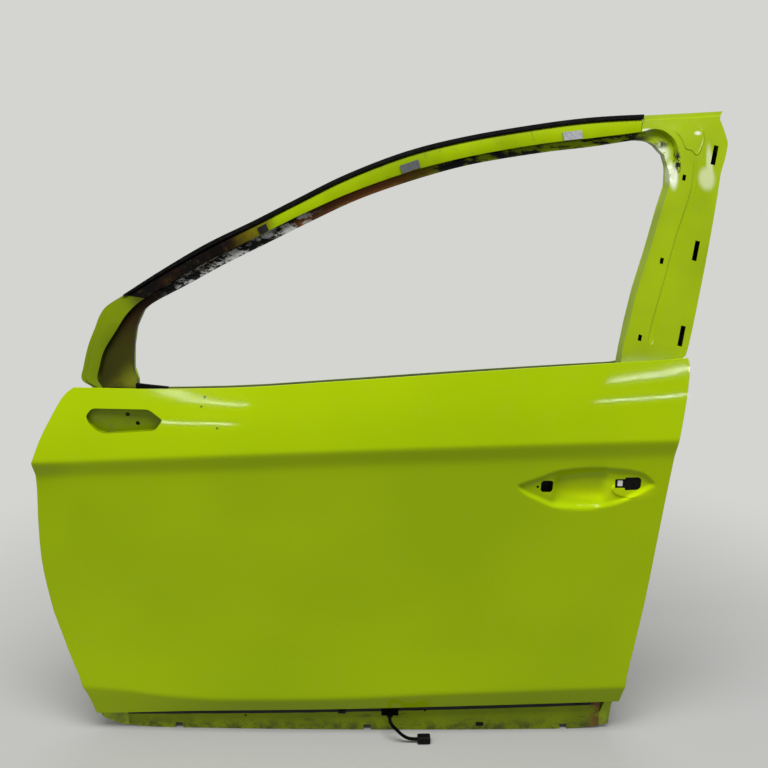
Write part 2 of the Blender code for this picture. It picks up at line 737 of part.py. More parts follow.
def box(name, low, high, group, bevel=0.0):
    """A block between two corners, its edges rounded by the bevel."""
    mesh = bpy.data.meshes.new(name)
    work = bmesh.new()
    bmesh.ops.create_cube(work, size=1)
    size = Vector(high) - Vector(low)
    middle = (Vector(high) + Vector(low)) / 2
    place = Matrix.Translation(middle) @ Matrix.Diagonal((*size, 1))
    bmesh.ops.transform(work, matrix=place, verts=work.verts)
    if bevel:
        bmesh.ops.bevel(work, geom=work.edges, offset=bevel, segments=1, affect="EDGES")
    work.to_mesh(mesh)
    work.free()
    return new_object(name, mesh, None, group)


def slab(name, loop, front, back, look, group):
    """A block with an outline in X and Z, between two faces given as y over x and z."""
    mesh = bpy.data.meshes.new(name)
    count = len(loop)
    points = [(x, front(x, z), z) for x, z in loop] + [(x, back(x, z), z) for x, z in loop]
    sides = [(i, i + count, (i + 1) % count + count, (i + 1) % count) for i in range(count)]
    mesh.from_pydata(points, [], [tuple(range(count)), tuple(range(2 * count - 1, count - 1, -1)), *sides])
    return new_object(name, mesh, look, group)


def loft_solid(name, rings, look, group):
    """A closed body through rings of equal count, with flat ends."""
    mesh = bpy.data.meshes.new(name)
    count = len(rings[0])
    points = [point for ring in rings for point in ring]
    faces = []
    for row in range(len(rings) - 1):
        for i in range(count):
            after = (i + 1) % count
            faces.append((
                row * count + i, row * count + after, (row + 1) * count + after, (row + 1) * count + i,
            ))
    faces += [tuple(range(count)), tuple(range(len(points) - 1, len(points) - count - 1, -1))]
    mesh.from_pydata(points, [], faces)
    work = bmesh.new()
    work.from_mesh(mesh)
    bmesh.ops.recalc_face_normals(work, faces=work.faces)
    work.to_mesh(mesh)
    work.free()
    return new_object(name, mesh, look, group)


def joined(name, pieces, look, group):
    """Several closed bodies in one object, without a union."""
    mesh = bpy.data.meshes.new(name)
    work = bmesh.new()
    for piece in pieces:
        work.from_mesh(piece.data)
        bpy.data.objects.remove(piece)
    bmesh.ops.recalc_face_normals(work, faces=work.faces)
    work.to_mesh(mesh)
    work.free()
    return new_object(name, mesh, look, group)


def union(made, others):
    """Adds closed bodies to an object by Boolean, and keeps the result as its mesh."""
    for other in others:
        boolean = made.modifiers.new("join", "BOOLEAN")
        boolean.object = other
        boolean.operation = "UNION"
        boolean.solver = "EXACT"
    bpy.context.view_layer.update()
    graph = bpy.context.evaluated_depsgraph_get()
    mesh = bpy.data.meshes.new_from_object(made.evaluated_get(graph))
    made.modifiers.clear()
    made.data = mesh
    for other in others:
        bpy.data.objects.remove(other)
    return made


# Outer panel


def skin_outline():
    """The outer panel's edge, anticlockwise from the lower front corner."""
    steps = [i / EDGE_STEPS for i in range(EDGE_STEPS + 1)]
    places = [(front_share(0) + (rear_share(0) - front_share(0)) * step, 0) for step in steps]
    places += [(rear_share(level), level) for level in REAR_LEVEL_SHARES]
    places += [(rear_share(3) + (front_share(3) - rear_share(3)) * step, 3) for step in steps[1:]]
    places += [(front_share(level), level) for level in FRONT_LEVEL_SHARES]
    return [(x_at(share), level_height(share, level)) for share, level in places]


def rear_chain(loop):
    """The part of a loop made like the outline that runs up the rear edge."""
    return loop[EDGE_STEPS:EDGE_STEPS + 1 + len(REAR_LEVEL_SHARES)]


def front_chain(loop):
    """The same for the front edge, from the top down."""
    return loop[2 * EDGE_STEPS + len(REAR_LEVEL_SHARES):] + loop[:1]


def skin_ring(distance):
    """The outline moved inward, its points on the two ends kept on their own levels."""
    loop = inset(skin_outline(), distance)
    rear_first = EDGE_STEPS + 1
    front_first = 2 * EDGE_STEPS + 1 + len(REAR_LEVEL_SHARES)
    ends = (
        (rear_first, REAR_LEVEL_SHARES[:-1], rear_share, -1),
        (front_first, FRONT_LEVEL_SHARES, front_share, 1),
    )
    for first, levels, share_of, way in ends:
        for i, level in enumerate(levels):
            low, high = share_of(level - LEVEL_STEP), share_of(level + LEVEL_STEP)
            rise = level_height(high, level + LEVEL_STEP) - level_height(low, level - LEVEL_STEP)
            lean = math.hypot(x_at(high) - x_at(low), rise) / rise
            x = x_at(share_of(level)) + way * distance * lean
            loop[first + i] = (x, level_height(share_at(x), level))
    return loop


def level_line(level, rings):
    """Points along a crease, through its ends on each ring."""
    front = [front_chain(ring)[1 + FRONT_LEVEL_SHARES.index(level)] for ring in rings]
    rear = [rear_chain(ring)[1 + REAR_LEVEL_SHARES.index(level)] for ring in rings]
    first, last = front[-1][0], rear[-1][0]
    places = [first + (last - first) * i / LINE_STEPS for i in range(1, LINE_STEPS)]
    return [*front, *[(x, level_height(share_at(x), level)) for x in places], *rear[::-1]]


def press_line(level):
    """Points along one level inside the panel."""
    first, last = x_at(front_share(level)) + PRESS_MARGIN, x_at(rear_share(level)) - PRESS_MARGIN
    places = [first + (last - first) * i / PRESS_STEPS for i in range(PRESS_STEPS + 1)]
    return [(x, level_height(share_at(x), level)) for x in places]


def mirror_loop():
    """The mirror hole, anticlockwise."""
    shares = MIRROR_SHARES[::-1]
    return [(MIRROR_X + MIRROR_LENGTH * across, MIRROR_Z + MIRROR_HEIGHT * up) for across, up in shares]


def handle_place(shares):
    """A place in the handle recess: share of its length, and share of its rise above its tips."""
    return HANDLE_X + HANDLE_LENGTH * shares[0], HANDLE_Z + HANDLE_RISE * shares[1]


def leaf_loop():
    """The handle recess's edge, anticlockwise."""
    places = [HANDLE_X + HANDLE_LENGTH * share for share in LEAF_X_SHARES]
    low = [(x, leaf_edges(x)[0]) for x in places]
    high = [(x, leaf_edges(x)[1]) for x in places[::-1]]
    return [(HANDLE_X, HANDLE_Z), *low, (HANDLE_X + HANDLE_LENGTH, HANDLE_Z), *high]


def handle_holes():
    """The openings in the handle recess: grip, pin, and the lock's slot and hole joined in one."""
    x, z = handle_place(LOCK_SLOT_SHARES)
    lock_x, lock_z = handle_place(LOCK_HOLE_SHARES)
    slot_low, slot_high = z - LOCK_SLOT[1] / 2, z + LOCK_SLOT[1] / 2
    lock_low, lock_high = lock_z - LOCK_HOLE[1] / 2, lock_z + LOCK_HOLE[1] / 2
    step_x = lock_x - LOCK_HOLE[0] / 2
    end_x = lock_x + LOCK_HOLE[0] / 2
    start_x = x - LOCK_SLOT[0] / 2
    lock = [
        (start_x, slot_low), (step_x, slot_low), (step_x, lock_low), (end_x - LOCK_CORNER, lock_low),
        (end_x, lock_low + LOCK_CORNER), (end_x, lock_high - LOCK_CORNER), (end_x - LOCK_CORNER, lock_high),
        (step_x, lock_high), (step_x, slot_high), (start_x, slot_high),
    ]
    grip_x, grip_z = handle_place(GRIP_HOLE_SHARES)
    across, up = GRIP_HOLE[0] / 2, GRIP_HOLE[1] / 2
    grip = rounded_box((grip_x - across, grip_x + across), (grip_z - up, grip_z + up), GRIP_CORNER, steps=1)
    return grip, circle(*handle_place(PIN_HOLE_SHARES), PIN_HOLE / 2), lock


def outer_skin(look, group):
    outline = skin_outline()
    edge, hem_exit = skin_ring(HEM_ROLL), skin_ring(HEM_EXIT_INSET)
    blank = Blank(edge)
    blank.hole(mirror_loop())
    for loop in handle_holes():
        blank.hole(loop)
    for level in (1.0, FACET_LEVEL_SHARE, 2.0):
        blank.add(level_line(level, (edge, hem_exit)))
    leaf = leaf_loop()
    blank.add(leaf, closed=True)
    for share in RIB_SHARES:
        x = HANDLE_X + HANDLE_LENGTH * share
        low, high = leaf_edges(x)
        blank.add([(x, low + (high - low) * up) for up in (0, *RIB_UP_SHARES, 1)])
    for chain in (front_chain, rear_chain):
        blank.add(chain(hem_exit)[1:-1])
    for level in PRESS_LEVEL_SHARES:
        blank.scatter([point for point in press_line(level) if not inside(point, leaf)])
    points, faces = blank.press(lambda x, z: Vector((x, skin_y(x, z), z)))
    fold = SKIN_SHEET + FIT + PANEL_SHEET + FIT + SKIN_SHEET
    rims = []
    for rim, near, back in zip(outline, edge, skin_ring(HEM_RETURN)):
        rims.append([
            Vector((near[0], skin_y(*near), near[1])),
            behind_skin(*rim, fold / 2),
            behind_skin(*near, fold),
            behind_skin(*back, fold),
        ])
    rims.append(rims[0])
    faces += grid_faces(len(rims), 4, len(points))
    points += [point for rim in rims for point in rim]
    return thicken(mesh_object("outer_skin", points, faces, look, group), SKIN_SHEET)


# Inner panel

def pan_line():
    return [(x_at(across), PAN_Z + PAN_HEIGHT * up) for across, up in PAN_SHARES]


def at_height(chain, z):
    """The point of a chain at a height, along straight lines."""
    for start, end in zip(chain, chain[1:]):
        if min(start.z, end.z) <= z <= max(start.z, end.z):
            return start.lerp(end, (z - start.z) / (end.z - start.z))
    return min((chain[0], chain[-1]), key=lambda point: abs(point.z - z))


def open_inset(line, distance):
    """An open line moved to its left."""
    moved = []
    for i, here in enumerate(line):
        sides = []
        if i > 0:
            before = Vector(here) - Vector(line[i - 1])
            sides.append(Vector((-before.y, before.x)).normalized())
        if i < len(line) - 1:
            after = Vector(line[i + 1]) - Vector(here)
            sides.append(Vector((-after.y, after.x)).normalized())
        total = sides[0] + sides[-1]
        moved.append(tuple(Vector(here) + distance * total / (1 + sides[0].dot(sides[-1]))))
    return moved


def pan_stations():
    """The wall's line, with two points across the flange beside each place and how far the rim is drawn in.

    On the sides there is a point at every height where the hem has one, so the flange lies flat in it.
    """
    depth = SKIN_SHEET + FIT + PANEL_SHEET
    ring = [behind_skin(*point, depth) for point in skin_ring(FLANGE_INSET)]
    inner_ring = [behind_skin(*point, depth) for point in skin_ring(HEM_EXIT_INSET)]
    wall = pan_line()
    low_first, low_last = min(LOW_FLANGE_SHARES), max(LOW_FLANGE_SHARES)
    stations = []
    for i, (x, z) in enumerate(wall):
        side = front_chain if i < low_first else rear_chain
        if i in LOW_FLANGE_SHARES:
            across, up = LOW_FLANGE_SHARES[i]
            low_x = x_at(across)
            edge = Vector((low_x, low_flange_y(low_x), PAN_Z + PAN_HEIGHT * up))
            past = edge.lerp(Vector((x, low_flange_y(x), z)), MIDDLE_SHARE)
        else:
            edge, past = min(zip(side(ring), side(inner_ring)), key=lambda pair: abs(pair[0].z - z))
            if abs(edge.z - z) > ROW_GAP:
                edge, past = at_height(side(ring), z), at_height(side(inner_ring), z)
        stations.append(((x, z), edge, past, 0))
        if i == len(wall) - 1:
            break
        after_x, after_z = wall[i + 1]
        pairs = []
        if i < low_first - 1 or i > low_last:
            low, high = min(z, after_z) + ROW_GAP, max(z, after_z) - ROW_GAP
            pairs = [pair for pair in zip(side(ring), side(inner_ring)) if low < pair[0].z < high]
        elif i in (low_first - 1, low_last):
            height = HEM_EXIT_FRONT_Z if i < low_first else HEM_EXIT_REAR_Z
            foot_x = x + (after_x - x) * (height - z) / (after_z - z)
            foot = Vector((foot_x, foot_y(foot_x, height), height))
            edge = at_height(side(inner_ring), height)
            if i < low_first:
                edge = edge.lerp(foot, HEM_EXIT_FRONT_SHARE)
            pairs = [(edge, edge.lerp(foot, MIDDLE_SHARE))]
        for edge, past in sorted(pairs, key=lambda pair: pair[0].z, reverse=after_z < z):
            share = (edge.z - z) / (after_z - z)
            stations.append(((x + (after_x - x) * share, edge.z), edge, past, RIM_NUDGE))
    return stations


def low_flange_y(x):
    """Cabin side of the flange below the hem, behind the closing strip."""
    return band_y(x) + PANEL_SHEET + FIT + PANEL_SHEET


def foot_y(x, z):
    """Where the flange turns into the wall."""
    side = OUTERMOST_Y + (FRONT_FOOT if share_at(x) < MIDDLE_SHARE else REAR_FOOT)
    blend = ease((FOOT_BLEND_Z - z) / FOOT_BLEND)
    return side + (low_flange_y(x) - side) * blend


def pan_rings():
    """Rows across the pan's side: flange, foot, top of the wall, seal ledge and edge of the face."""
    stations = pan_stations()
    wall = [place for place, _, _, _ in stations]
    ledge = open_inset(wall, LEDGE_WIDTH)
    rim = open_inset(wall, LEDGE_WIDTH + LEDGE_DRAFT)
    drawn = open_inset(wall, LEDGE_WIDTH + LEDGE_DRAFT + RIM_NUDGE)
    rows = []
    for station, (ledge_x, ledge_z), place, drawn_place in zip(stations, ledge, rim, drawn):
        (x, z), edge, past, nudge = station
        rim_x, rim_z = drawn_place if nudge else place
        turn = inner_y(z) - LEDGE_RISE
        rows.append([
            edge,
            past,
            Vector((x, foot_y(x, z), z)),
            Vector((x, turn, z)),
            Vector((ledge_x, turn + LEDGE_TILT, ledge_z)),
            Vector((rim_x, inner_y(rim_z), rim_z)),
        ])
    return rows


def face_blank(rim):
    """The cabin face with its openings, each in a shallow rim."""
    top = []
    for i in range(1, EDGE_STEPS):
        x = rim[-1][0] + (rim[0][0] - rim[-1][0]) * i / EDGE_STEPS
        top.append((x, level_height(share_at(x), 3) - BELT_CLEARANCE))
    blank = Blank([*rim, *top])
    loops = (
        rounded_box(SERVICE_X, SERVICE_Z, SERVICE_CORNER, slant=SERVICE_SLANT),
        rounded_box(ACCESS_X, ACCESS_Z, ACCESS_CORNER),
        circle(SPEAKER_X, SPEAKER_Z, SPEAKER_RADIUS, SPEAKER_SIDES),
    )
    for loop in loops:
        blank.hole(loop, -RIM_DEPTH)
        blank.add(inset(loop, -RIM_WIDTH), closed=True)
    for across, up in CLIP_HOLE_SHARES:
        blank.hole(circle(x_at(across), PAN_Z + PAN_HEIGHT * up, CLIP_HOLE, CLIP_HOLE_SIDES))
    chain = [Vector((x, 0, z)) for x, z in rim]
    front, rear = chain[:len(chain) // 2], chain[len(chain) // 2:]
    for share in INNER_TURN_SHARES:
        z = INNER_BELT_Z + INNER_BELT_HEIGHT * share
        first, last = at_height(front, z).x + INNER_ROW_MARGIN, at_height(rear, z).x - INNER_ROW_MARGIN
        blank.add([(first + (last - first) * i / INNER_ROW_STEPS, z) for i in range(INNER_ROW_STEPS + 1)])
    return blank


def latch_frame():
    """The rear wall at the latch: a point on its cavity side, its direction up, and its normal outward."""
    wall = pan_line()
    z = PAN_Z + PAN_HEIGHT * LATCH_SHARE
    for low, high in zip(wall, wall[1:]):
        if low[0] > x_at(MIDDLE_SHARE) and low[1] <= z <= high[1]:
            share = (z - low[1]) / (high[1] - low[1])
            up = Vector((high[0] - low[0], 0, high[1] - low[1])).normalized()
            out = Vector((up.z, 0, -up.x))
            middle_y = (foot_y(high[0], z) + inner_y(z) - LEDGE_RISE) / 2
            place = Vector((low[0] + (high[0] - low[0]) * share, middle_y, z))
            return place - out * PANEL_SHEET, up, out


def block_along(name, ends, up, size, look, group):
    """A block between two points, its section given across Y and along its own up direction."""
    across = Vector((0, 1, 0))
    rings = []
    for middle in ends:
        corners = ((-1, -1), (1, -1), (1, 1), (-1, 1))
        rings.append([middle + across * a * size[0] / 2 + up * b * size[1] / 2 for a, b in corners])
    return loft_solid(name, rings, look, group)


def wall_cutters(group):
    """Every hole through the front and rear walls and their plates, as one cutter."""
    forward = Vector((-1, 0, 0))
    reach = PANEL_SHEET + PLATE_SHEET + 2 * CUT_OVERRUN
    pieces = []
    for z in (0, -HINGE_SPACING):
        for side in (-1, 1):
            at = Vector((0, 0, z + side * HINGE_BOLT_SPACING / 2))
            pieces.append(cylinder("bolt", HINGE_BOLT / 2, reach, at, forward, group, BOLT_SIDES))
    for side in (-1, 1):
        at = Vector((0, 0, -STRAP_DROP + side * STRAP_BOLT_SPACING / 2))
        pieces.append(cylinder("bolt", STRAP_BOLT / 2, reach, at, forward, group, BOLT_SIDES))
    half = Vector((reach / 2, STRAP_SLOT[0] / 2, STRAP_SLOT[1] / 2))
    middle = Vector((0, 0, -STRAP_DROP))
    pieces.append(box("slot", middle - half, middle + half, group))
    at = Vector((0, 0, -HARNESS_DROP))
    pieces.append(cylinder("harness", HARNESS_HOLE / 2, reach, at, forward, group, HARNESS_SIDES))
    place, up, out = latch_frame()
    for side in (-1, 1):
        at = place + up * side * LATCH_BOLT_SPACING / 2
        pieces.append(cylinder("bolt", LATCH_BOLT / 2, reach, at, out, group, BOLT_SIDES))
    ends = [place - out * reach / 2, place + out * reach / 2]
    pieces.append(block_along("slot", ends, up, LATCH_SLOT, None, group))
    return joined("wall_holes", pieces, None, group)


def drain_cutter(group):
    """The drain notches in the closing strip and the flange behind it."""
    pieces = []
    for across in DRAIN_X_SHARES:
        x = x_at(across)
        low = Vector((x - DRAIN_SLOT[0] / 2, band_y(x) - CUT_OVERRUN, BAND_BOTTOM_Z - CUT_OVERRUN))
        high = Vector((x + DRAIN_SLOT[0] / 2, band_y(x) + CUT_OVERRUN, BAND_BOTTOM_Z + DRAIN_SLOT[1]))
        pieces.append(box("drain", low, high, group))
    return joined("drains", pieces, None, group)


def inner_panel(look, group, cutters):
    rows = pan_rings()
    rim = [(row[-1].x, row[-1].z) for row in rows]
    points, faces = face_blank(rim).press(lambda x, z: Vector((x, inner_y(z), z)))
    faces = [face[::-1] for face in faces]
    faces += grid_faces(len(rows), len(rows[0]), len(points))
    points += [point for row in rows for point in row]
    made = thicken(mesh_object("inner_panel", points, faces, look, group), PANEL_SHEET)
    for cutter in cutters:
        cut(made, cutter)
    return made


# Closing strip below the outer panel

def band_place(shares):
    """A place on the closing strip: share of SKIN_LENGTH, and share of its height from the bottom."""
    x = x_at(shares[0])
    return x, BAND_BOTTOM_Z + (level_height(share_at(x), 0) - BAND_BOTTOM_Z) * shares[1]


def lower_closing_panel(look, group, drains, cutters):
    rows = []
    behind_hem = SKIN_SHEET + FIT + PANEL_SHEET + FIT + SKIN_SHEET + FIT
    for i in range(BAND_STEPS + 1):
        x = BAND_X[0] + (BAND_X[1] - BAND_X[0]) * i / BAND_STEPS
        hem = level_height(share_at(x), 0)
        end = max(min(x - BAND_X[0], BAND_X[1] - x) / BAND_CORNER, 0)
        bottom = BAND_BOTTOM_Z + BAND_CORNER_RISE * (1 - ease(end))
        lip = behind_skin(x, hem + HEM_ROLL, behind_hem)
        rows.append([
            behind_skin(x, hem + BAND_LIP, behind_hem),
            lip,
            Vector((x, band_y(x), hem - BAND_STEP)),
            Vector((x, band_y(x), bottom)),
        ])
    made = loft_sheet("lower_closing_panel", rows, PANEL_SHEET, look, group)
    pieces = []
    for place in (*BAND_HOLES_SHARES, *CLIP_SHARES):
        x, z = band_place(place)
        radius = BAND_HOLE / 2 if place in BAND_HOLES_SHARES else CLIP_STEM / 2 + 2 * FIT
        at = Vector((x, band_y(x), z))
        pieces.append(cylinder("hole", radius, 2 * CUT_OVERRUN, at, Vector((0, 1, 0)), cutters, BOLT_SIDES))
    x, z = band_place(GROMMET_SHARE)
    half = Vector((GROMMET[0] / 2 - GROMMET_FLANGE, CUT_OVERRUN, GROMMET[1] / 2 - GROMMET_FLANGE))
    middle = Vector((x, band_y(x), z))
    pieces.append(box("hole", middle - half, middle + half, cutters))
    cut(made, drains)
    return cut(made, joined("strip_holes", pieces, None, cutters))


# Window frame

def toward(start, end, distance):
    step = Vector(end) - Vector(start)
    return tuple(Vector(start) + step.normalized() * distance)


def on_frame(place, depth):
    x, z = place
    return Vector((x, frame_y(x, z) + depth, z))


def outer_row(station):
    """Across the outer sheet: seal lip, face, glass run and the flange round the window."""
    edge, face, window = [frame_point(shares) for shares in station]
    return [
        on_frame(edge, LIP_DEPTH),
        on_frame(toward(edge, face, LIP_WIDTH), LIP_DEPTH),
        on_frame(toward(edge, face, LIP_WIDTH + LIP_STEP), 0),
        on_frame(face, 0),
        on_frame(toward(face, window, RUN_STEP), RUN_DEPTH),
        on_frame(window, RUN_DEPTH + RUN_FALL),
        on_frame(window, RUN_DEPTH + RUN_FLANGE),
    ]


def inner_row(station):
    """Across the inner sheet: lip behind the outer one, wall, face and the flange round the window."""
    edge, face, _ = [frame_point(shares) for shares in station]
    back = LIP_DEPTH + FRAME_SHEET + FIT + FRAME_SHEET
    stations = A_POST_SHARES + HEADER_SHARES[1:]
    line = open_inset([frame_point(row[2]) for row in stations], FRAME_SHEET + 2 * FIT)
    near = line[stations.index(station)]
    return [
        on_frame(toward(edge, face, FIT), back),
        on_frame(toward(edge, face, INNER_LIP), back),
        on_frame(toward(edge, face, INNER_LIP + LIP_STEP), FRAME_BOX),
        on_frame(near, FRAME_BOX),
        on_frame(near, INNER_TURN),
    ]


def butted(rows, index, neighbour):
    """One end row drawn back from what it meets."""
    pairs = zip(rows[index], rows[neighbour])
    rows[index] = [point + (other - point).normalized() * BUTT_GAP for point, other in pairs]
    return rows


def frame_post(look, group):
    loft_sheet("a_post_outer", [outer_row(row) for row in A_POST_SHARES], FRAME_SHEET, look, group)
    loft_sheet("a_post_inner", [inner_row(row) for row in A_POST_SHARES], FRAME_SHEET, look, group, flip=True)


def header(look, group):
    for name, across, flip in (("header_outer", outer_row, False), ("header_inner", inner_row, True)):
        rows = [across(row) for row in HEADER_SHARES]
        rows = butted(butted(rows, 0, 1), -1, -2)
        loft_sheet(name, rows, FRAME_SHEET, look, group, flip=flip)


def b_post_outer(look, group):
    rear = [frame_point(shares) for shares in B_REAR_SHARES]
    window = [frame_point(shares) for shares in B_WINDOW_SHARES]
    tongue = [frame_point(shares) for shares in B_TONGUE_SHARES]
    face = [frame_point(shares) for shares in B_FACE_SHARES]
    corner, middle, end = rear[-3:]
    run = open_inset(face, -RUN_STEP)[1:-1]
    corner_lip = toward(corner, rear[-4], LIP_WIDTH)
    end_lip = toward(end, face[0], LIP_WIDTH)
    end_step = toward(end, face[0], LIP_WIDTH + LIP_STEP)
    end_run = toward(face[0], window[0], RUN_STEP)
    in_run = RUN_DEPTH + RUN_FALL
    recessed = RUN_FADE_PLACE
    outline = [*rear[:-3], corner_lip, corner, middle, end, end_lip, end_step, face[0], end_run]
    outline += [*window, *tongue]
    depths = [0] * len(rear[:-3]) + [LIP_DEPTH] * 5 + [0, 0, RUN_DEPTH]
    window_depths = [in_run if i < recessed else 0 for i in range(len(window))]
    depths += window_depths + [0] * len(tongue)
    blank = Blank(outline, depths)
    for place, tilt, size in (
        *[(place, B_SLOT_TILT, B_BIG_SLOT) for place in B_BIG_SHARES],
        *[(place, B_SLOT_TILT, B_SMALL_SLOT) for place in B_SMALL_SHARES],
    ):
        blank.hole(tilted_box(*frame_point(place), size, tilt))
    blank.add([corner_lip, (middle[0], middle[1] - LIP_WIDTH), end_lip], LIP_DEPTH)
    blank.add([rear[-4], (middle[0], middle[1] - LIP_WIDTH - LIP_STEP), end_step])
    blank.add(face)
    blank.add([window[-B_FOLD_PLACE], rear[0]])
    blank.add([end_run, *run], RUN_DEPTH)
    groove = [frame_point(shares) for shares in B_GROOVE_SHARES]
    groove_depths = [0, *[B_GROOVE_DEPTH] * (len(groove) - 2), 0]
    blank.add(groove, groove_depths)
    blank.add(open_inset(groove, B_GROOVE_WIDTH / 2)[:-1])
    blank.add(open_inset(groove, -B_GROOVE_WIDTH / 2)[:-1])
    points, faces = blank.press(lambda x, z: on_frame((x, z), 0))
    rows = [
        [on_frame(place, depth), on_frame(place, RUN_DEPTH + RUN_FLANGE)]
        for place, depth in zip(window, window_depths)
    ]
    faces += grid_faces(len(rows), 2, len(points))
    points += [point for row in rows for point in row]
    return thicken(mesh_object("b_post_outer", points, faces, look, group), FRAME_SHEET)


def b_post_inner(look, group):
    path = [frame_point(shares) for shares in (*B_TONGUE_SHARES, *B_REAR_SHARES)]
    path.insert(-3, toward(path[-3], path[-4], LIP_WIDTH))
    window = [frame_point(shares) for shares in B_WINDOW_SHARES]
    edge = open_inset(path, FIT)
    plain_path = path[:-2 * CORNER_PLACES] + path[-CORNER_PLACES:]
    lip = open_inset(plain_path, INNER_LIP)
    wall = open_inset(plain_path, INNER_LIP + LIP_STEP)
    near = open_inset(window, FRAME_SHEET + 2 * FIT)
    plain = 2 * FRAME_SHEET + FIT
    raised = CORNER_PLACES + 2
    backs = [plain] * (len(path) - raised) + [plain + LIP_DEPTH] * raised
    outline = [*edge, lip[-1], wall[-1], *near, wall[0], lip[0]]
    depths = [*backs, backs[-1], *[FRAME_BOX] * (len(near) + 2), backs[0]]
    blank = Blank(outline, depths)
    lip_backs = backs[:len(lip) - CORNER_PLACES] + backs[-CORNER_PLACES:]
    blank.add(lip, [back + LIP_EASE for back in lip_backs])
    blank.add(wall, FRAME_BOX)
    fold = B_FOLD_PLACE
    fold_depths = (FRAME_BOX, FRAME_BOX, plain + LIP_EASE, plain)
    blank.add([near[-fold], wall[fold], lip[fold], edge[fold]], fold_depths)
    points, faces = blank.press(lambda x, z: on_frame((x, z), 0))
    faces = [face[::-1] for face in faces]
    rows = [[on_frame(place, FRAME_BOX), on_frame(place, INNER_TURN)] for place in near]
    faces += grid_faces(len(rows), 2, len(points), flip=True)
    points += [point for row in rows for point in row]
    return thicken(mesh_object("b_post_inner", points, faces, look, group), FRAME_SHEET)


# Rails at the belt

def belt_points():
    """Places along the belt, from the front, at the outer panel's own points."""
    loop = skin_outline()
    start = EDGE_STEPS + len(REAR_LEVEL_SHARES)
    return loop[start:start + EDGE_STEPS + 1][::-1]


def rail_section():
    """Below the rail's top flange: drop from the belt, and share of the way out to the frame."""
    return (RAIL_TOP + RAIL_TURN, 1), (RAIL_DROP - RAIL_TURN, 1), (RAIL_DROP, 0), (RAIL_FOOT, 0)


def belt_rail_outer(look, group):
    rows = []
    in_hem = SKIN_SHEET + FIT
    for x, z in belt_points()[1:-1]:
        deep = ease((x - RAIL_DEEP_X[0]) / (RAIL_DEEP_X[1] - RAIL_DEEP_X[0]))
        post_y = frame_y(x, z) - FIT - PANEL_SHEET
        row = [behind_skin(x, z - FLANGE_INSET, in_hem), behind_skin(x, z - RAIL_TOP, in_hem)]
        for drop, share in rail_section():
            low = z - (RAIL_TOP + (drop - RAIL_TOP) * (RAIL_SHALLOW + (1 - RAIL_SHALLOW) * deep))
            point = behind_skin(x, low, SKIN_SHEET + PAD_GAP)
            point.y += (post_y - point.y) * share * deep
            row.append(point)
        rows.append(row)
    return loft_sheet("belt_rail_outer", rows, PANEL_SHEET, look, group)


def belt_rail_inner(look, group):
    rows = []
    for i in range(EDGE_STEPS + 1):
        x = INNER_RAIL_X[0] + (INNER_RAIL_X[1] - INNER_RAIL_X[0]) * i / EDGE_STEPS
        top = level_height(share_at(x), 3) - BELT_CLEARANCE
        row = []
        for drop, share in ((0, 0), (RAIL_TOP, 0), *rail_section()):
            z = top - drop
            flange = inner_y(z) - PANEL_SHEET - FIT - PANEL_SHEET
            post = frame_y(x, FRAME_Z) + FRAME_BOX + FIT
            row.append(Vector((x, flange + (post - flange) * share, z)))
        rows.append(row)
    return loft_sheet("belt_rail_inner", rows, PANEL_SHEET, look, group)


# Beam, plates and guides

def wall_x(z):
    """The rear wall's cavity side at a height."""
    wall = [Vector((x, 0, height)) for x, height in pan_line() if x > x_at(MIDDLE_SHARE)]
    return at_height(wall, z).x - PANEL_SHEET


def impact_beam(look, group, cutters):
    y = OUTERMOST_Y + BEAM_SET
    front = Vector((PANEL_SHEET + FIT + BRACKET_SHEET + BEAM_END, y, BEAM_FRONT_Z))
    rear = Vector((wall_x(BEAM_REAR_Z) - FIT - BRACKET_SHEET - BEAM_END, y, BEAM_REAR_Z))
    middle, along = (front + rear) / 2, rear - front
    made = cylinder("impact_beam", BEAM_RADIUS, along.length, middle, along, group, BEAM_SIDES)
    made.data.materials.append(look)
    bore = along.length + 2 * CUT_OVERRUN
    return cut(made, cylinder("beam_bore", BEAM_RADIUS - BEAM_WALL, bore, middle, along, cutters, BEAM_SIDES))


def beam_bracket(name, z, front, look, group):
    """An angled plate: one side on the wall, the other along the inboard side of the beam."""
    y = OUTERMOST_Y + BEAM_SET + BEAM_RADIUS + FIT
    rows = []
    for height in (z - BRACKET_HALF_HEIGHT, z + BRACKET_HALF_HEIGHT):
        if front:
            wall, way = PANEL_SHEET + FIT, 1
        else:
            wall, way = wall_x(height) - FIT, -1
        rows.append([
            Vector((wall, y + BRACKET_WALL, height)),
            Vector((wall, y, height)),
            Vector((wall + way * BRACKET_LENGTH, y, height)),
        ])
    return loft_sheet(name, rows, BRACKET_SHEET, look, group, flip=not front)


def plate(name, z, size, look, group, cutter):
    """A flat reinforcement behind the front wall."""
    low = Vector((PANEL_SHEET + FIT, -size[0] / 2, z - size[1] / 2))
    high = Vector((PANEL_SHEET + FIT + PLATE_SHEET, size[0] / 2, z + size[1] / 2))
    made = box(name, low, high, group)
    made.data.materials.append(look)
    return cut(made, cutter)


def latch_plate(look, group, cutter):
    place, up, out = latch_frame()
    ends = [place - out * FIT, place - out * (FIT + PLATE_SHEET)]
    return cut(block_along("latch_plate", ends, up, LATCH_PLATE, look, group), cutter)


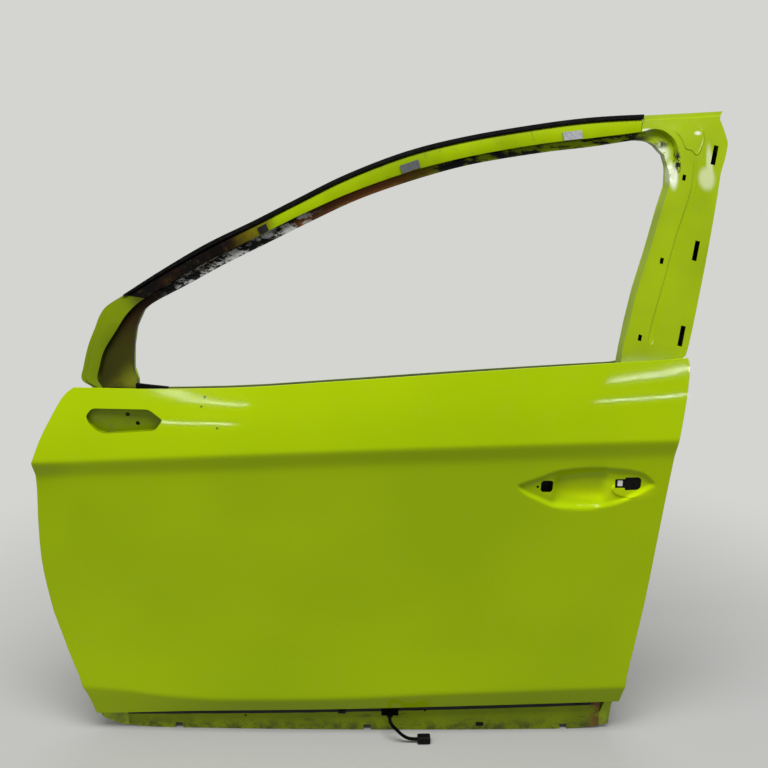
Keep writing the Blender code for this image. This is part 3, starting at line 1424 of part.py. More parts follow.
def glass_channel(name, window, way, z_range, foot_z, look, group):
    """A U-shaped guide beside a post's window edge, open to the glass, with a foot on the inner panel."""
    x, top = window
    web = x + way * (FIT + CHANNEL_SLACK)
    low_y = frame_y(x, top) + CHANNEL_SET
    high_y = low_y + CHANNEL_WIDTH
    tip = web + way * CHANNEL_DEPTH
    rows = []
    for z in z_range:
        corners = ((tip, low_y), (web, low_y), (web, high_y), (tip, high_y))
        rows.append([Vector((across, y, z)) for across, y in corners])
    made = loft_sheet(name, rows, CHANNEL_SHEET, look, group, flip=way < 0)
    panel = inner_y(foot_z) - PANEL_SHEET - FIT
    sheet = CHANNEL_SHEET * way
    low, high = foot_z - FOOT_HEIGHT / 2, foot_z + FOOT_HEIGHT / 2
    arm = (sorted((web, web + sheet)), (high_y - CHANNEL_SHEET / 2, panel))
    foot = ((web, web + FOOT_LENGTH), (panel - CHANNEL_SHEET, panel))
    pieces = []
    for (x_low, x_high), (y_low, y_high) in (arm, foot):
        pieces.append(box("foot", Vector((x_low, y_low, low)), Vector((x_high, y_high, high)), group))
    return union(made, pieces)


# Fittings

def mirror_bracket(look, group):
    hole = mirror_loop()
    against = SKIN_SHEET + FIT
    pad_y = skin_y(MIRROR_X + MIRROR_LENGTH / 2, MIRROR_Z + MIRROR_HEIGHT / 2) + MIRROR_PAD_DEPTH
    pad = inset(hole, -MIRROR_WALL)
    rows = []
    for near, lip, out in zip(pad, inset(hole, -MIRROR_LIP), inset(hole, -MIRROR_PAD_MARGIN)):
        low = Vector((near[0], pad_y, near[1]))
        rows.append([low, behind_skin(*lip, against), behind_skin(*out, against)])
    rows.append(rows[0])
    blank = Blank(pad)
    for across, up in MIRROR_SCREWS_SHARES:
        x, z = MIRROR_X + MIRROR_LENGTH * across, MIRROR_Z + MIRROR_HEIGHT * up
        blank.hole(circle(x, z, MIRROR_SCREW_HOLE / 2))
    points, faces = blank.press(lambda x, z: Vector((x, pad_y, z)))
    faces += grid_faces(len(rows), 3, len(points))
    points += [point for row in rows for point in row]
    return thicken(mesh_object("mirror_bracket", points, faces, look, group), PANEL_SHEET)


def deepest(x_range, z_range):
    """The innermost place of the outer panel's back over a rectangle."""
    steps = [i / DEPTH_PROBES for i in range(DEPTH_PROBES + 1)]
    xs = [x_range[0] + (x_range[1] - x_range[0]) * step for step in steps]
    zs = [z_range[0] + (z_range[1] - z_range[0]) * step for step in steps]
    return max(skin_y(x, z) for x in xs for z in zs) + SKIN_SHEET + FIT


def handle_carrier(look, group):
    back = OUTERMOST_Y + CARRIER_BACK
    blocks = []
    for x_range in (CARRIER_FRONT_X, CARRIER_REAR_X):
        front = deepest(x_range, CARRIER_Z)
        low, high = Vector((x_range[0], front, CARRIER_Z[0])), Vector((x_range[1], back, CARRIER_Z[1]))
        blocks.append(box("handle_carrier", low, high, group))
    bar = (CARRIER_FRONT_X[1], CARRIER_REAR_X[0])
    front = deepest(bar, CARRIER_Z)
    low = Vector((bar[0] - CUT_OVERRUN, front, CARRIER_Z[0] + CARRIER_STEP))
    high = Vector((bar[1] + CUT_OVERRUN, back, CARRIER_Z[1] - CARRIER_STEP))
    made = union(blocks[0], [blocks[1], box("bar", low, high, group)])
    made.data.materials.clear()
    made.data.materials.append(look)
    return made


def carrier_tab(look, group):
    x, z = handle_place(LOCK_SLOT_SHARES)
    front = deepest(CARRIER_REAR_X, CARRIER_Z) - FIT
    half = Vector((TAB[0] / 2, 0, TAB[2] / 2))
    low = Vector((x, front - TAB[1], z)) - half
    high = Vector((x, front, z)) + half
    made = box("carrier_tab", low, high, group)
    made.data.materials.append(look)
    return made


def damping_pad(look, group):
    rows = []
    for level in PAD_LEVEL_SHARES:
        first, last = x_at(PAD_X_SHARES[0]), x_at(PAD_X_SHARES[1])
        line = [point for point in press_line(level) if first < point[0] < last]
        rows.append([behind_skin(*point, SKIN_SHEET + PAD_GAP) for point in line])
    return loft_sheet("damping_pad", rows, PAD_SHEET, look, group)


def header_seal(look, group):
    rings = []
    for edge_shares, face_shares, _ in HEADER_SHARES:
        edge, face = frame_point(edge_shares), frame_point(face_shares)
        ring = []
        for across, out in SEAL_SHARES:
            depth = LIP_DEPTH - FIT - SEAL_THICKNESS * out
            ring.append(on_frame(toward(edge, face, SEAL_WIDTH * across), depth))
        rings.append(ring)
    return loft_solid("header_seal", rings, look, group)


def on_header(share):
    """The header's face edge at a share of the length, with the directions along it and up from it."""
    for before, after in zip(HEADER_SHARES, HEADER_SHARES[1:]):
        if before[1][0] <= share <= after[1][0]:
            start, end = Vector(frame_point(before[1])), Vector(frame_point(after[1]))
            along = (end - start).normalized()
            part = (share - before[1][0]) / (after[1][0] - before[1][0])
            return start.lerp(end, part), along, Vector((-along.y, along.x))


def on_face(name, share, size, look, group):
    """A small block stuck on the header's face, above its glass run."""
    face, along, up = on_header(share)
    half = along * size[0] / 2
    low, high = face + up * FACE_MARGIN, face + up * (FACE_MARGIN + size[1])
    loop = [tuple(point) for point in (low - half, low + half, high + half, high - half)]

    def back(x, z):
        return frame_y(x, z) - FIT

    return slab(name, loop, lambda x, z: back(x, z) - size[2], back, look, group)


def sill_seal_end(look, group):
    rings = []
    for x, height in zip(SILL_SEAL_X, SILL_SEAL_HEIGHTS):
        z = level_height(share_at(x), 3) + FIT
        y = skin_y(x, z)
        rings.append([
            Vector((x, y, z)), Vector((x, y + SILL_SEAL_WIDTH, z)),
            Vector((x, y + SILL_SEAL_WIDTH, z + height)), Vector((x, y, z + height)),
        ])
    return loft_solid("sill_seal_end", rings, look, group)


def lower_clip(name, place, look, group):
    x, z = band_place(place)
    near = band_y(x) - FIT
    low = Vector((x - CLIP_HEAD[0] / 2, near - CLIP_THICKNESS, z - CLIP_HEAD[1] / 2))
    high = Vector((x + CLIP_HEAD[0] / 2, near, z + CLIP_HEAD[1] / 2))
    head = box(name, low, high, group, CLIP_BEVEL)
    length = CLIP_THICKNESS / 2 + FIT + PANEL_SHEET
    at = Vector((x, near - CLIP_THICKNESS / 2 + length / 2, z))
    made = union(head, [cylinder("stem", CLIP_STEM / 2, length, at, Vector((0, 1, 0)), group, CLIP_SIDES)])
    made.data.materials.append(look)
    return made


def pigtail_grommet(look, group):
    x, z = band_place(GROMMET_SHARE)
    near = band_y(x) - FIT
    flange_y = near - GROMMET_FLANGE
    half_x, half_z = GROMMET[0] / 2, GROMMET[1] / 2
    low, high = Vector((x - half_x, flange_y, z - half_z)), Vector((x + half_x, near, z + half_z))
    flange = box("pigtail_grommet", low, high, group, GROMMET_BEVEL)
    inside_x, inside_z = half_x - GROMMET_FLANGE - FIT, half_z - GROMMET_FLANGE - FIT
    low = Vector((x - inside_x, flange_y + GROMMET_FLANGE / 2, z - inside_z))
    high = Vector((x + inside_x, near + FIT + PANEL_SHEET + GROMMET_FLANGE, z + inside_z))
    body = box("body", low, high, group)
    nose_length = GROMMET_NOSE + GROMMET_FLANGE / 2
    at = Vector((x, flange_y + GROMMET_FLANGE / 2 - nose_length / 2, z))
    nose = cylinder("nose", CABLE_DIAMETER, nose_length, at, Vector((0, 1, 0)), group, CLIP_SIDES)
    made = union(flange, [body, nose])
    made.data.materials.append(look)
    return made


def route_points(route, count):
    """Points along a smooth curve through the route's own points."""
    knots = [Vector(point) for point in route]
    knots = [2 * knots[0] - knots[1], *knots, 2 * knots[-1] - knots[-2]]
    points = []
    for i in range(count + 1):
        place = (len(route) - 1) * i / count
        k = min(int(place), len(route) - 2)
        t = place - k
        before, start, end, after = knots[k:k + 4]
        points.append((
            2 * start + (end - before) * t + (2 * before - 5 * start + 4 * end - after) * t**2
            + (3 * start - before - 3 * end + after) * t**3
        ) / 2)
    return points


def pigtail_cable(look, group):
    curve = bpy.data.curves.new("pigtail_cable", "CURVE")
    curve.dimensions = "3D"
    curve.bevel_depth = CABLE_DIAMETER / 2
    curve.bevel_resolution = 2
    curve.use_fill_caps = True
    points = route_points(CABLE_ROUTE, CABLE_SEGMENTS)
    spline = curve.splines.new("POLY")
    spline.points.add(len(points) - 1)
    for slot, point in zip(spline.points, points):
        slot.co = (*point, 1)
    curve.materials.append(look)
    made = bpy.data.objects.new("pigtail_cable", curve)
    group.objects.link(made)
    return made


def pigtail_plug(look, group):
    """The plug, in line with the cable's end and lying on the floor."""
    end = Vector(CABLE_ROUTE[-1])
    along = end - Vector(CABLE_ROUTE[-2])
    along.z = 0
    along.normalize()
    half = Vector(PLUG) / 2
    made = box("pigtail_plug", -half, half, group, PLUG_BEVEL)
    middle = end + along * (FIT + PLUG[0] / 2)
    turn = along.to_track_quat("X", "Z").to_matrix().to_4x4()
    made.data.transform(Matrix.Translation(middle) @ turn)
    made.data.materials.append(look)
    return made


def main():
    for old in list(bpy.data.objects):
        bpy.data.objects.remove(old)
    door = bpy.data.collections.new("car_door_shell")
    cutters = bpy.data.collections.new("cutters")
    cutters.hide_render = True
    bpy.context.scene.collection.children.link(door)
    bpy.context.scene.collection.children.link(cutters)
    paint = material("green_paint", (0.40, 0.53, 0.02), 0.25)
    steel = material("coated_steel", (0.36, 0.40, 0.20), 0.5, 0.4)
    black = material("black_plastic", (0.02, 0.02, 0.02), 0.5)
    rubber = material("black_rubber", (0.02, 0.02, 0.02), 0.8)
    grey = material("grey_foam", (0.35, 0.36, 0.37), 0.9)
    white = material("white_plastic", (0.8, 0.8, 0.78), 0.4)
    walls = wall_cutters(cutters)
    drains = drain_cutter(cutters)
    outer_skin(paint, door)
    inner_panel(paint, door, (walls, drains))
    lower_closing_panel(paint, door, drains, cutters)
    frame_post(paint, door)
    header(paint, door)
    b_post_outer(paint, door)
    b_post_inner(paint, door)
    belt_rail_outer(steel, door)
    belt_rail_inner(steel, door)
    impact_beam(steel, door, cutters)
    beam_bracket("beam_bracket_front", BEAM_FRONT_Z, True, steel, door)
    beam_bracket("beam_bracket_rear", BEAM_REAR_Z, False, steel, door)
    plate("upper_hinge_plate", 0, HINGE_PLATE, steel, door, walls)
    plate("lower_hinge_plate", -HINGE_SPACING, HINGE_PLATE, steel, door, walls)
    plate("check_strap_plate", -STRAP_DROP, STRAP_PLATE, steel, door, walls)
    latch_plate(steel, door, walls)
    front_edge, rear_edge = frame_point(A_POST_SHARES[1][2]), frame_point(B_WINDOW_SHARES[-1])
    glass_channel("front_glass_channel", front_edge, 1, FRONT_CHANNEL_Z, FRONT_FOOT_Z, steel, door)
    glass_channel("rear_glass_channel", rear_edge, -1, REAR_CHANNEL_Z, REAR_FOOT_Z, steel, door)
    mirror_bracket(paint, door)
    handle_carrier(black, door)
    carrier_tab(white, door)
    damping_pad(grey, door)
    header_seal(rubber, door)
    sill_seal_end(rubber, door)
    on_face("rail_pad_front", PAD_FRONT_SHARE, RAIL_PAD, grey, door)
    on_face("rail_pad_rear", PAD_REAR_SHARE, RAIL_PAD, grey, door)
    on_face("header_clip", HEADER_CLIP_SHARE, HEADER_CLIP, black, door)
    for name, place in zip(("lower_clip_front", "lower_clip_middle", "lower_clip_rear"), CLIP_SHARES):
        lower_clip(name, place, black, door)
    pigtail_grommet(rubber, door)
    pigtail_cable(rubber, door)
    pigtail_plug(black, door)


main()
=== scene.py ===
"""Looks of the car door shell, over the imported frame."""

import math

import bmesh
import bpy
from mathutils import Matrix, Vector
from mathutils.geometry import delaunay_2d_cdt


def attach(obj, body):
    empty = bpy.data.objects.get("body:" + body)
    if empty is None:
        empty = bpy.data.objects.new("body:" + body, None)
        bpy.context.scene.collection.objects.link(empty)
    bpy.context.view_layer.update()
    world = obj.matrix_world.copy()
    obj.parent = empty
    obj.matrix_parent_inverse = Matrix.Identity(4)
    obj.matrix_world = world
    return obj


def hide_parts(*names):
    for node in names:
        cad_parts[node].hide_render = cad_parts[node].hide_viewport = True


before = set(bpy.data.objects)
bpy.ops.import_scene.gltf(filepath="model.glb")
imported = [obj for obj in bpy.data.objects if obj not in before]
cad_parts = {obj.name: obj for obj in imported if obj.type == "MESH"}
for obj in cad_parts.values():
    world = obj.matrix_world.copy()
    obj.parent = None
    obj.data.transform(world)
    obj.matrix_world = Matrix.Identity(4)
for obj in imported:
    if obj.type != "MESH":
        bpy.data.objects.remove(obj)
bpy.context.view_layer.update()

# Shape values, the same as the solids'
SKIN_SHEET = 0.0008
PANEL_SHEET = 0.0010
FRAME_SHEET = 0.0010
FIT = 0.0003
MERGE = 0.00001
MIDDLE_SHARE = 0.5
SKIN_LENGTH = 1.125
SKIN_FRONT = -0.040
OUTERMOST_Y = -0.070
CREASE_Z = 0.0845
CREASE_CLIMB = 0.045
CREASE_ARCH = 0.0065
BELT_RISE = 0.160
LOWER_DROP = 0.490
HEM_DROP = 0.525
SKIN_HOLLOW = 0.018
PLAN_BOW = 0.0148
FACET_SET = 0.0085
BELT_SET = 0.025
LOWER_SET = 0.009
HEM_SET = 0.019
TURN_WIDTH = 0.075
TURN_DEPTH = 0.007
HEM_RETURN = 0.008
HEM_ROLL = 0.0006
EDGE_STEPS = 48
SLOPE_STEP = 0.0015
LEVEL_STEP = 0.03
BELT_SHARES = (
    (0.000, 0.680), (0.075, 0.676), (0.182, 0.666), (0.303, 0.680), (0.482, 0.759),
    (0.618, 0.828), (0.748, 0.891), (0.866, 0.941), (0.966, 0.980), (1.000, 1.000),
)
LOWER_SHARES = (
    (0.000, 0.950), (0.067, 0.958), (0.118, 0.966), (0.182, 0.985), (0.276, 0.999),
    (0.457, 0.991), (0.636, 0.968), (0.788, 0.955), (0.940, 0.946), (1.000, 0.943),
)
HEM_SHARES = (
    (0.000, 1.018), (0.060, 1.014), (0.236, 0.995), (0.456, 0.982), (0.724, 0.965),
    (0.943, 0.955), (1.000, 0.953),
)
PLAN_MIDDLE_SHARE = 0.591
FRONT_LOW_SHARES = (
    (0.00, 0.0613), (0.44, 0.0569), (1.00, 0.0462), (1.14, 0.0300), (1.25, 0.0187), (1.36, 0.0080),
    (1.58, 0.0000), (1.76, 0.0036), (1.86, 0.0080), (2.00, 0.0116),
)
FRONT_HIGH_SHARES = ((2.00, 0.0116), (2.31, 0.0267), (2.61, 0.0458), (2.90, 0.0667), (3.00, 0.0809))
REAR_LOW_SHARES = (
    (0.00, 0.940), (1.00, 0.945), (1.195, 0.957), (1.394, 0.968), (1.593, 0.975), (1.78, 0.981),
    (2.00, 0.988),
)
REAR_HIGH_SHARES = ((2.00, 0.988), (2.48, 0.996), (2.73, 0.999), (2.90, 1.000), (3.00, 0.9965))
HOLLOW_SHARES = (
    (1.00, 0.50), (1.10, 0.72), (1.20, 0.89), (1.40, 1.00), (1.70, 0.80), (1.88, 0.56), (1.94, 0.47),
)
FACET_LEVEL_SHARE = 1.94
UPPER_SHARES = ((2.00, 0.00), (2.50, 0.45), (3.00, 1.00))
TURN_SHARES = ((1.20, 0.0), (1.40, 0.25), (1.60, 0.55), (1.80, 0.85), (1.94, 1.0))
REAR_LEVEL_SHARES = (
    0.5, 0.8, 0.95, 1.0, 1.05, 1.15, 1.25, 1.35, 1.45, 1.55, 1.65, 1.75, 1.82, 1.88, 1.92, 1.94, 1.96, 1.98,
    2.0, 2.03, 2.1, 2.2, 2.3, 2.45, 2.6, 2.75, 2.85, 2.93, 3.0,
)
FRONT_LEVEL_SHARES = (
    2.93, 2.85, 2.75, 2.6, 2.45, 2.3, 2.2, 2.1, 2.03, 2.0, 1.98, 1.96, 1.94, 1.91, 1.87, 1.82, 1.76, 1.7,
    1.64, 1.58, 1.52, 1.46, 1.4, 1.34, 1.28, 1.22, 1.16, 1.1, 1.05, 1.0, 0.95, 0.8, 0.5,
)
MIRROR_X = 0.071
MIRROR_Z = 0.116
MIRROR_LENGTH = 0.131
MIRROR_HEIGHT = 0.042
MIRROR_SHARES = (
    (0.000, 0.69), (0.084, 1.00), (0.824, 0.976), (0.969, 0.643), (1.000, 0.548), (0.901, 0.143),
    (0.244, 0.000), (0.145, 0.095), (0.046, 0.381),
)
HANDLE_X = 0.803
HANDLE_Z = 0.024
HANDLE_LENGTH = 0.240
HANDLE_RISE = 0.032
HANDLE_FALL = 0.044
LEAF_TOP_SHARES = (
    (0.0, 0.0), (0.154, 0.42), (0.296, 0.82), (0.54, 1.0), (0.754, 0.90), (0.892, 0.68), (1.0, 0.0),
)
LEAF_BOTTOM_SHARES = (
    (0.0, 0.0), (0.046, 0.30), (0.171, 0.68), (0.279, 0.93), (0.496, 1.0), (0.675, 0.90),
    (0.846, 0.54), (1.0, 0.0),
)
LAND_DEPTH = 0.005
LAND_RAMP = 0.006
SCOOP_DEPTH = 0.017
SCOOP_FALL = 0.012
SCOOP_ROUND = 0.8
SCOOP_SHARES = ((0.25, 0.0), (0.32, 1.0), (0.61, 1.0), (0.67, 0.0))
GRIP_HOLE = (0.022, 0.022)
GRIP_HOLE_SHARES = (0.221, -0.12)
GRIP_CORNER = 0.0037
PIN_HOLE = 0.0050
PIN_HOLE_SHARES = (0.154, -0.14)
LOCK_SLOT = (0.018, 0.016)
LOCK_SLOT_SHARES = (0.745, 0.03)
LOCK_HOLE = (0.028, 0.024)
LOCK_HOLE_SHARES = (0.840, 0.0)
LOCK_CORNER = 0.0048
FRAME_HEIGHT = 0.450
FRAME_Z = 0.195
FRAME_LEAN = math.radians(21)
FRAME_SET = 0.0035
LIP_WIDTH = 0.007
LIP_DEPTH = 0.003
LIP_STEP = 0.002
RUN_DEPTH = 0.012
RUN_STEP = 0.003
RUN_FLANGE = 0.014
SEAL_WIDTH = 0.0085
SEAL_THICKNESS = 0.006
SEAL_SHARES = ((-0.2, 0), (0.8, 0), (0.8, 0.6), (0.6, 1), (0, 1), (-0.2, 0.6))
RUN_FALL = 0.001
RUN_FADE_PLACE = 9
BUTT_GAP = 0.0010
A_POST_SHARES = (
    ((0.120, -0.144), (0.132, -0.144), (0.169, -0.144)),
    ((0.116, -0.028), (0.127, -0.028), (0.172, -0.028)),
    ((0.092, 0.016), (0.116, 0.020), (0.172, 0.009)),
    ((0.093, 0.064), (0.118, 0.064), (0.165, 0.051)),
    ((0.099, 0.140), (0.124, 0.122), (0.164, 0.131)),
    ((0.108, 0.202), (0.140, 0.189), (0.167, 0.198)),
    ((0.115, 0.249), (0.154, 0.244), (0.177, 0.256)),
    ((0.126, 0.284), (0.169, 0.284), (0.188, 0.282)),
    ((0.151, 0.322), (0.184, 0.311), (0.203, 0.304)),
)
HEADER_SHARES = (
    ((0.151, 0.322), (0.184, 0.311), (0.203, 0.304)),
    ((0.210, 0.413), (0.234, 0.384), (0.246, 0.358)),
    ((0.278, 0.509), (0.292, 0.462), (0.301, 0.431)),
    ((0.348, 0.591), (0.360, 0.544), (0.368, 0.511)),
    ((0.413, 0.671), (0.425, 0.622), (0.433, 0.589)),
    ((0.489, 0.762), (0.500, 0.702), (0.508, 0.673)),
    ((0.581, 0.847), (0.590, 0.778), (0.596, 0.747)),
    ((0.676, 0.904), (0.681, 0.833), (0.684, 0.804)),
    ((0.786, 0.949), (0.788, 0.878), (0.791, 0.847)),
    ((0.867, 0.973), (0.867, 0.900), (0.867, 0.869)),
    ((0.945, 0.984), (0.941, 0.922), (0.932, 0.893)),
)
B_REAR_SHARES = (
    (0.9852, 0.1056), (0.994, 0.116), (1.005, 0.204), (1.020, 0.347), (1.036, 0.507), (1.053, 0.693),
    (1.059, 0.767), (1.066, 0.816), (1.071, 0.862), (1.072, 0.887), (1.066, 0.942), (1.062, 0.967),
    (1.063, 0.980),
    (1.068, 1.000), (1.017, 0.993), (0.945, 0.984),
)
B_WINDOW_SHARES = (
    (0.932, 0.893), (0.947, 0.891), (0.958, 0.884), (0.966, 0.871), (0.972, 0.853), (0.978, 0.838),
    (0.980, 0.818), (0.982, 0.798), (0.982, 0.776), (0.980, 0.724), (0.968, 0.644), (0.947, 0.489),
    (0.926, 0.347), (0.911, 0.222), (0.898, 0.093), (0.900, -0.144),
)
B_TONGUE_SHARES = ((0.966, -0.144), (0.968, 0.085))
B_FACE_SHARES = (
    (0.941, 0.922), (0.956, 0.933), (0.970, 0.931), (0.981, 0.918), (0.991, 0.893), (0.996, 0.856),
    (0.993, 0.800), (0.987, 0.744),
)
B_GROOVE_SHARES = (
    (1.022, 0.822), (1.016, 0.707), (0.989, 0.529), (0.970, 0.382), (0.948, 0.220), (0.942, 0.153),
)
B_BIG_SLOT = (0.008, 0.033)
B_BIG_SHARES = ((1.051, 0.836), (1.016, 0.487), (0.989, 0.184))
B_SMALL_SLOT = (0.006, 0.010)
B_SMALL_SHARES = ((1.003, 0.753), (0.964, 0.451), (0.927, 0.178))
B_SLOT_TILT = math.radians(14)
CABLE_DIAMETER = 0.006
CABLE_ROUTE = (
    (0.5861, -0.0501, -0.4450), (0.5861, -0.0630, -0.4453), (0.5900, -0.0705, -0.4490),
    (0.5985, -0.0735, -0.4568), (0.6075, -0.0740, -0.4665), (0.6175, -0.0734, -0.4742),
    (0.6275, -0.0729, -0.4773), (0.6370, -0.0727, -0.4776),
)


# Shape functions

def smooth(table, at):
    """Value at a place along a table of (place, value), by a curve that never overshoots its points."""
    places = [row[0] for row in table]
    values = [row[1] for row in table]
    if at <= places[0] or at >= places[-1]:
        end = (0, 1) if at <= places[0] else (-2, -1)
        rise = (values[end[1]] - values[end[0]]) / (places[end[1]] - places[end[0]])
        return values[end[0]] + rise * (at - places[end[0]])
    last = len(places) - 1
    slopes = [(values[i + 1] - values[i]) / (places[i + 1] - places[i]) for i in range(last)]
    tangents = [slopes[0]]
    for before, after in zip(slopes, slopes[1:]):
        tangents.append(2 * before * after / (before + after) if before * after > 0 else 0)
    tangents.append(slopes[-1])
    i = max(k for k in range(last) if places[k] <= at)
    width = places[i + 1] - places[i]
    t = (at - places[i]) / width
    return (
        values[i] * (2 * t**3 - 3 * t**2 + 1)
        + tangents[i] * width * (t**3 - 2 * t**2 + t)
        + values[i + 1] * (3 * t**2 - 2 * t**3)
        + tangents[i + 1] * width * (t**3 - t**2)
    )


def straight(table, at):
    """Value at a place along a table of (place, value), by straight lines and level past its ends."""
    if at <= table[0][0]:
        return table[0][1]
    for (start, low), (end, high) in zip(table, table[1:]):
        if at <= end:
            return low + (high - low) * (at - start) / (end - start)
    return table[-1][1]


def ease(at):
    """0 to 1 with level ends."""
    at = min(max(at, 0), 1)
    return at * at * (3 - 2 * at)


def x_at(share):
    return SKIN_FRONT + SKIN_LENGTH * share


def share_at(x):
    return (x - SKIN_FRONT) / SKIN_LENGTH


def line_heights(share):
    """Heights of the hem, lower crease, shoulder crease and belt at a share of the length."""
    crease = CREASE_Z + CREASE_CLIMB * (share - MIDDLE_SHARE) + CREASE_ARCH * 4 * share * (1 - share)
    return (
        CREASE_Z - HEM_DROP * smooth(HEM_SHARES, share),
        CREASE_Z - LOWER_DROP * smooth(LOWER_SHARES, share),
        crease,
        CREASE_Z + BELT_RISE * smooth(BELT_SHARES, share),
    )


def level_height(share, level):
    lines = line_heights(share)
    low = min(max(int(level), 0), 2)
    return lines[low] + (level - low) * (lines[low + 1] - lines[low])


def level_at(x, z):
    """0 on the hem, 1 on the lower crease, 2 on the shoulder crease, 3 on the belt, and between them."""
    lines = line_heights(share_at(x))
    low = 0 if z < lines[1] else 1 if z < lines[2] else 2
    return low + (z - lines[low]) / (lines[low + 1] - lines[low])


def front_share(level):
    return smooth(FRONT_LOW_SHARES if level <= 2 else FRONT_HIGH_SHARES, level)


def rear_share(level):
    return smooth(REAR_LOW_SHARES if level <= 2 else REAR_HIGH_SHARES, level)


def plan_depth(x):
    """How far the panel's plan curves inboard of its middle."""
    return PLAN_BOW * ((share_at(x) - PLAN_MIDDLE_SHARE) / PLAN_MIDDLE_SHARE) ** 2


def leaf_edges(x):
    """Lower and upper edge of the handle recess at x, or None past its tips."""
    along = (x - HANDLE_X) / HANDLE_LENGTH
    if along <= 0 or along >= 1:
        return None
    low = HANDLE_Z - HANDLE_FALL * smooth(LEAF_BOTTOM_SHARES, along)
    return low, HANDLE_Z + HANDLE_RISE * smooth(LEAF_TOP_SHARES, along)


def recess_depth(x, z):
    """Depth of the handle recess: two flat lands with a scoop for the fingers between them."""
    edges = leaf_edges(x)
    if edges is None or not edges[0] < z < edges[1]:
        return 0
    low, high = edges
    tip = min(x - HANDLE_X, HANDLE_X + HANDLE_LENGTH - x)
    land = LAND_DEPTH * ease(min(high - z, z - low, tip) / LAND_RAMP)
    floor = HANDLE_Z - SCOOP_FALL
    reach = (z - floor) / (high - floor) if z > floor else (floor - z) / (floor - low)
    scoop = SCOOP_DEPTH * (1 - reach**2) ** SCOOP_ROUND
    blend = ease(straight(SCOOP_SHARES, (x - HANDLE_X) / HANDLE_LENGTH))
    return land * (1 - blend) + scoop * blend


def frame_y(x, z):
    """The window frame's outer face: behind the belt, upright inside the door and leaning inboard above."""
    belt = level_height(share_at(x), 3)
    lean = math.tan(FRAME_LEAN) * max(z - belt, 0)
    return OUTERMOST_Y + BELT_SET + plan_depth(x) + FRAME_SET + lean


def frame_point(shares):
    return x_at(shares[0]), FRAME_Z + FRAME_HEIGHT * shares[1]


def frame_line(table):
    return [frame_point(shares) for shares in table]


def inset(loop, distance):
    """A closed outline moved inward, with its corners mitred. The outline runs anticlockwise."""
    return open_inset([loop[-1], *loop, loop[0]], distance)[1:-1]


def rounded_box(x_range, z_range, corner, steps):
    """A rectangle with round corners, anticlockwise."""
    loop = []
    corners = (
        (x_range[0], z_range[0], 180), (x_range[1], z_range[0], 270),
        (x_range[1], z_range[1], 0), (x_range[0], z_range[1], 90),
    )
    for x, z, start in corners:
        middle_x = x + (corner if start in (180, 90) else -corner)
        middle_z = z + (corner if start in (180, 270) else -corner)
        for step in range(steps + 1):
            angle = math.radians(start + 90 * step / steps)
            loop.append((middle_x + corner * math.cos(angle), middle_z + corner * math.sin(angle)))
    return loop


def circle(x, z, radius, sides):
    turn = 2 * math.pi / sides
    return [(x + radius * math.cos(i * turn), z + radius * math.sin(i * turn)) for i in range(sides)]


def tilted_box(x, z, size, tilt):
    """A rectangle about its centre, its top leaning rearward by the tilt, anticlockwise."""
    half_x, half_z = size[0] / 2, size[1] / 2
    loop = []
    for across, up in ((-half_x, -half_z), (half_x, -half_z), (half_x, half_z), (-half_x, half_z)):
        loop.append((
            x + across * math.cos(tilt) + up * math.sin(tilt),
            z - across * math.sin(tilt) + up * math.cos(tilt),
        ))
    return loop


def inside(point, loop):
    crossings = False
    for (ax, az), (bx, bz) in zip(loop, loop[1:] + loop[:1]):
        if (az > point[1]) != (bz > point[1]):
            crossings ^= point[0] < ax + (point[1] - az) * (bx - ax) / (bz - az)
    return crossings


class Blank:
    """A flat sheet in X and Z: an outline, its holes, lines that become edges and points in between.

    Every point may carry a depth of its own, added to what the press gives it.
    """

    def __init__(self, outline, depth=0.0):
        self.points, self.depths, self.edges, self.holes = [], [], [], []
        self.outline = list(outline)
        self.add(outline, depth, closed=True)

    def add(self, line, depth=0.0, closed=False):
        first = len(self.points)
        self.points += [Vector(point) for point in line]
        self.depths += list(depth) if hasattr(depth, "__len__") else [depth] * len(line)
        self.edges += [(first + i, first + i + 1) for i in range(len(line) - 1)]
        if closed:
            self.edges.append((first + len(line) - 1, first))

    def hole(self, loop):
        self.holes.append(list(loop))
        self.add(loop, closed=True)

    def press(self, place):
        """Points in space and triangles, with the depth of each point added inboard."""
        flat, _, faces, origins, _, _ = delaunay_2d_cdt(self.points, self.edges, [], 0, MERGE)
        points = []
        for at, origin in zip(flat, origins):
            depth = self.depths[origin[0]] if origin else 0
            points.append(place(at.x, at.y) + Vector((0, depth, 0)))
        kept = []
        for face in faces:
            middle = sum((flat[i] for i in face), Vector((0, 0))) / len(face)
            if inside(middle, self.outline) and not any(inside(middle, hole) for hole in self.holes):
                kept.append(tuple(face))
        return points, kept


def skin_outline():
    """The outer panel's edge, anticlockwise from the lower front corner."""
    steps = [i / EDGE_STEPS for i in range(EDGE_STEPS + 1)]
    places = [(front_share(0) + (rear_share(0) - front_share(0)) * step, 0) for step in steps]
    places += [(rear_share(level), level) for level in REAR_LEVEL_SHARES]
    places += [(rear_share(3) + (front_share(3) - rear_share(3)) * step, 3) for step in steps[1:]]
    places += [(front_share(level), level) for level in FRONT_LEVEL_SHARES]
    return [(x_at(share), level_height(share, level)) for share, level in places]


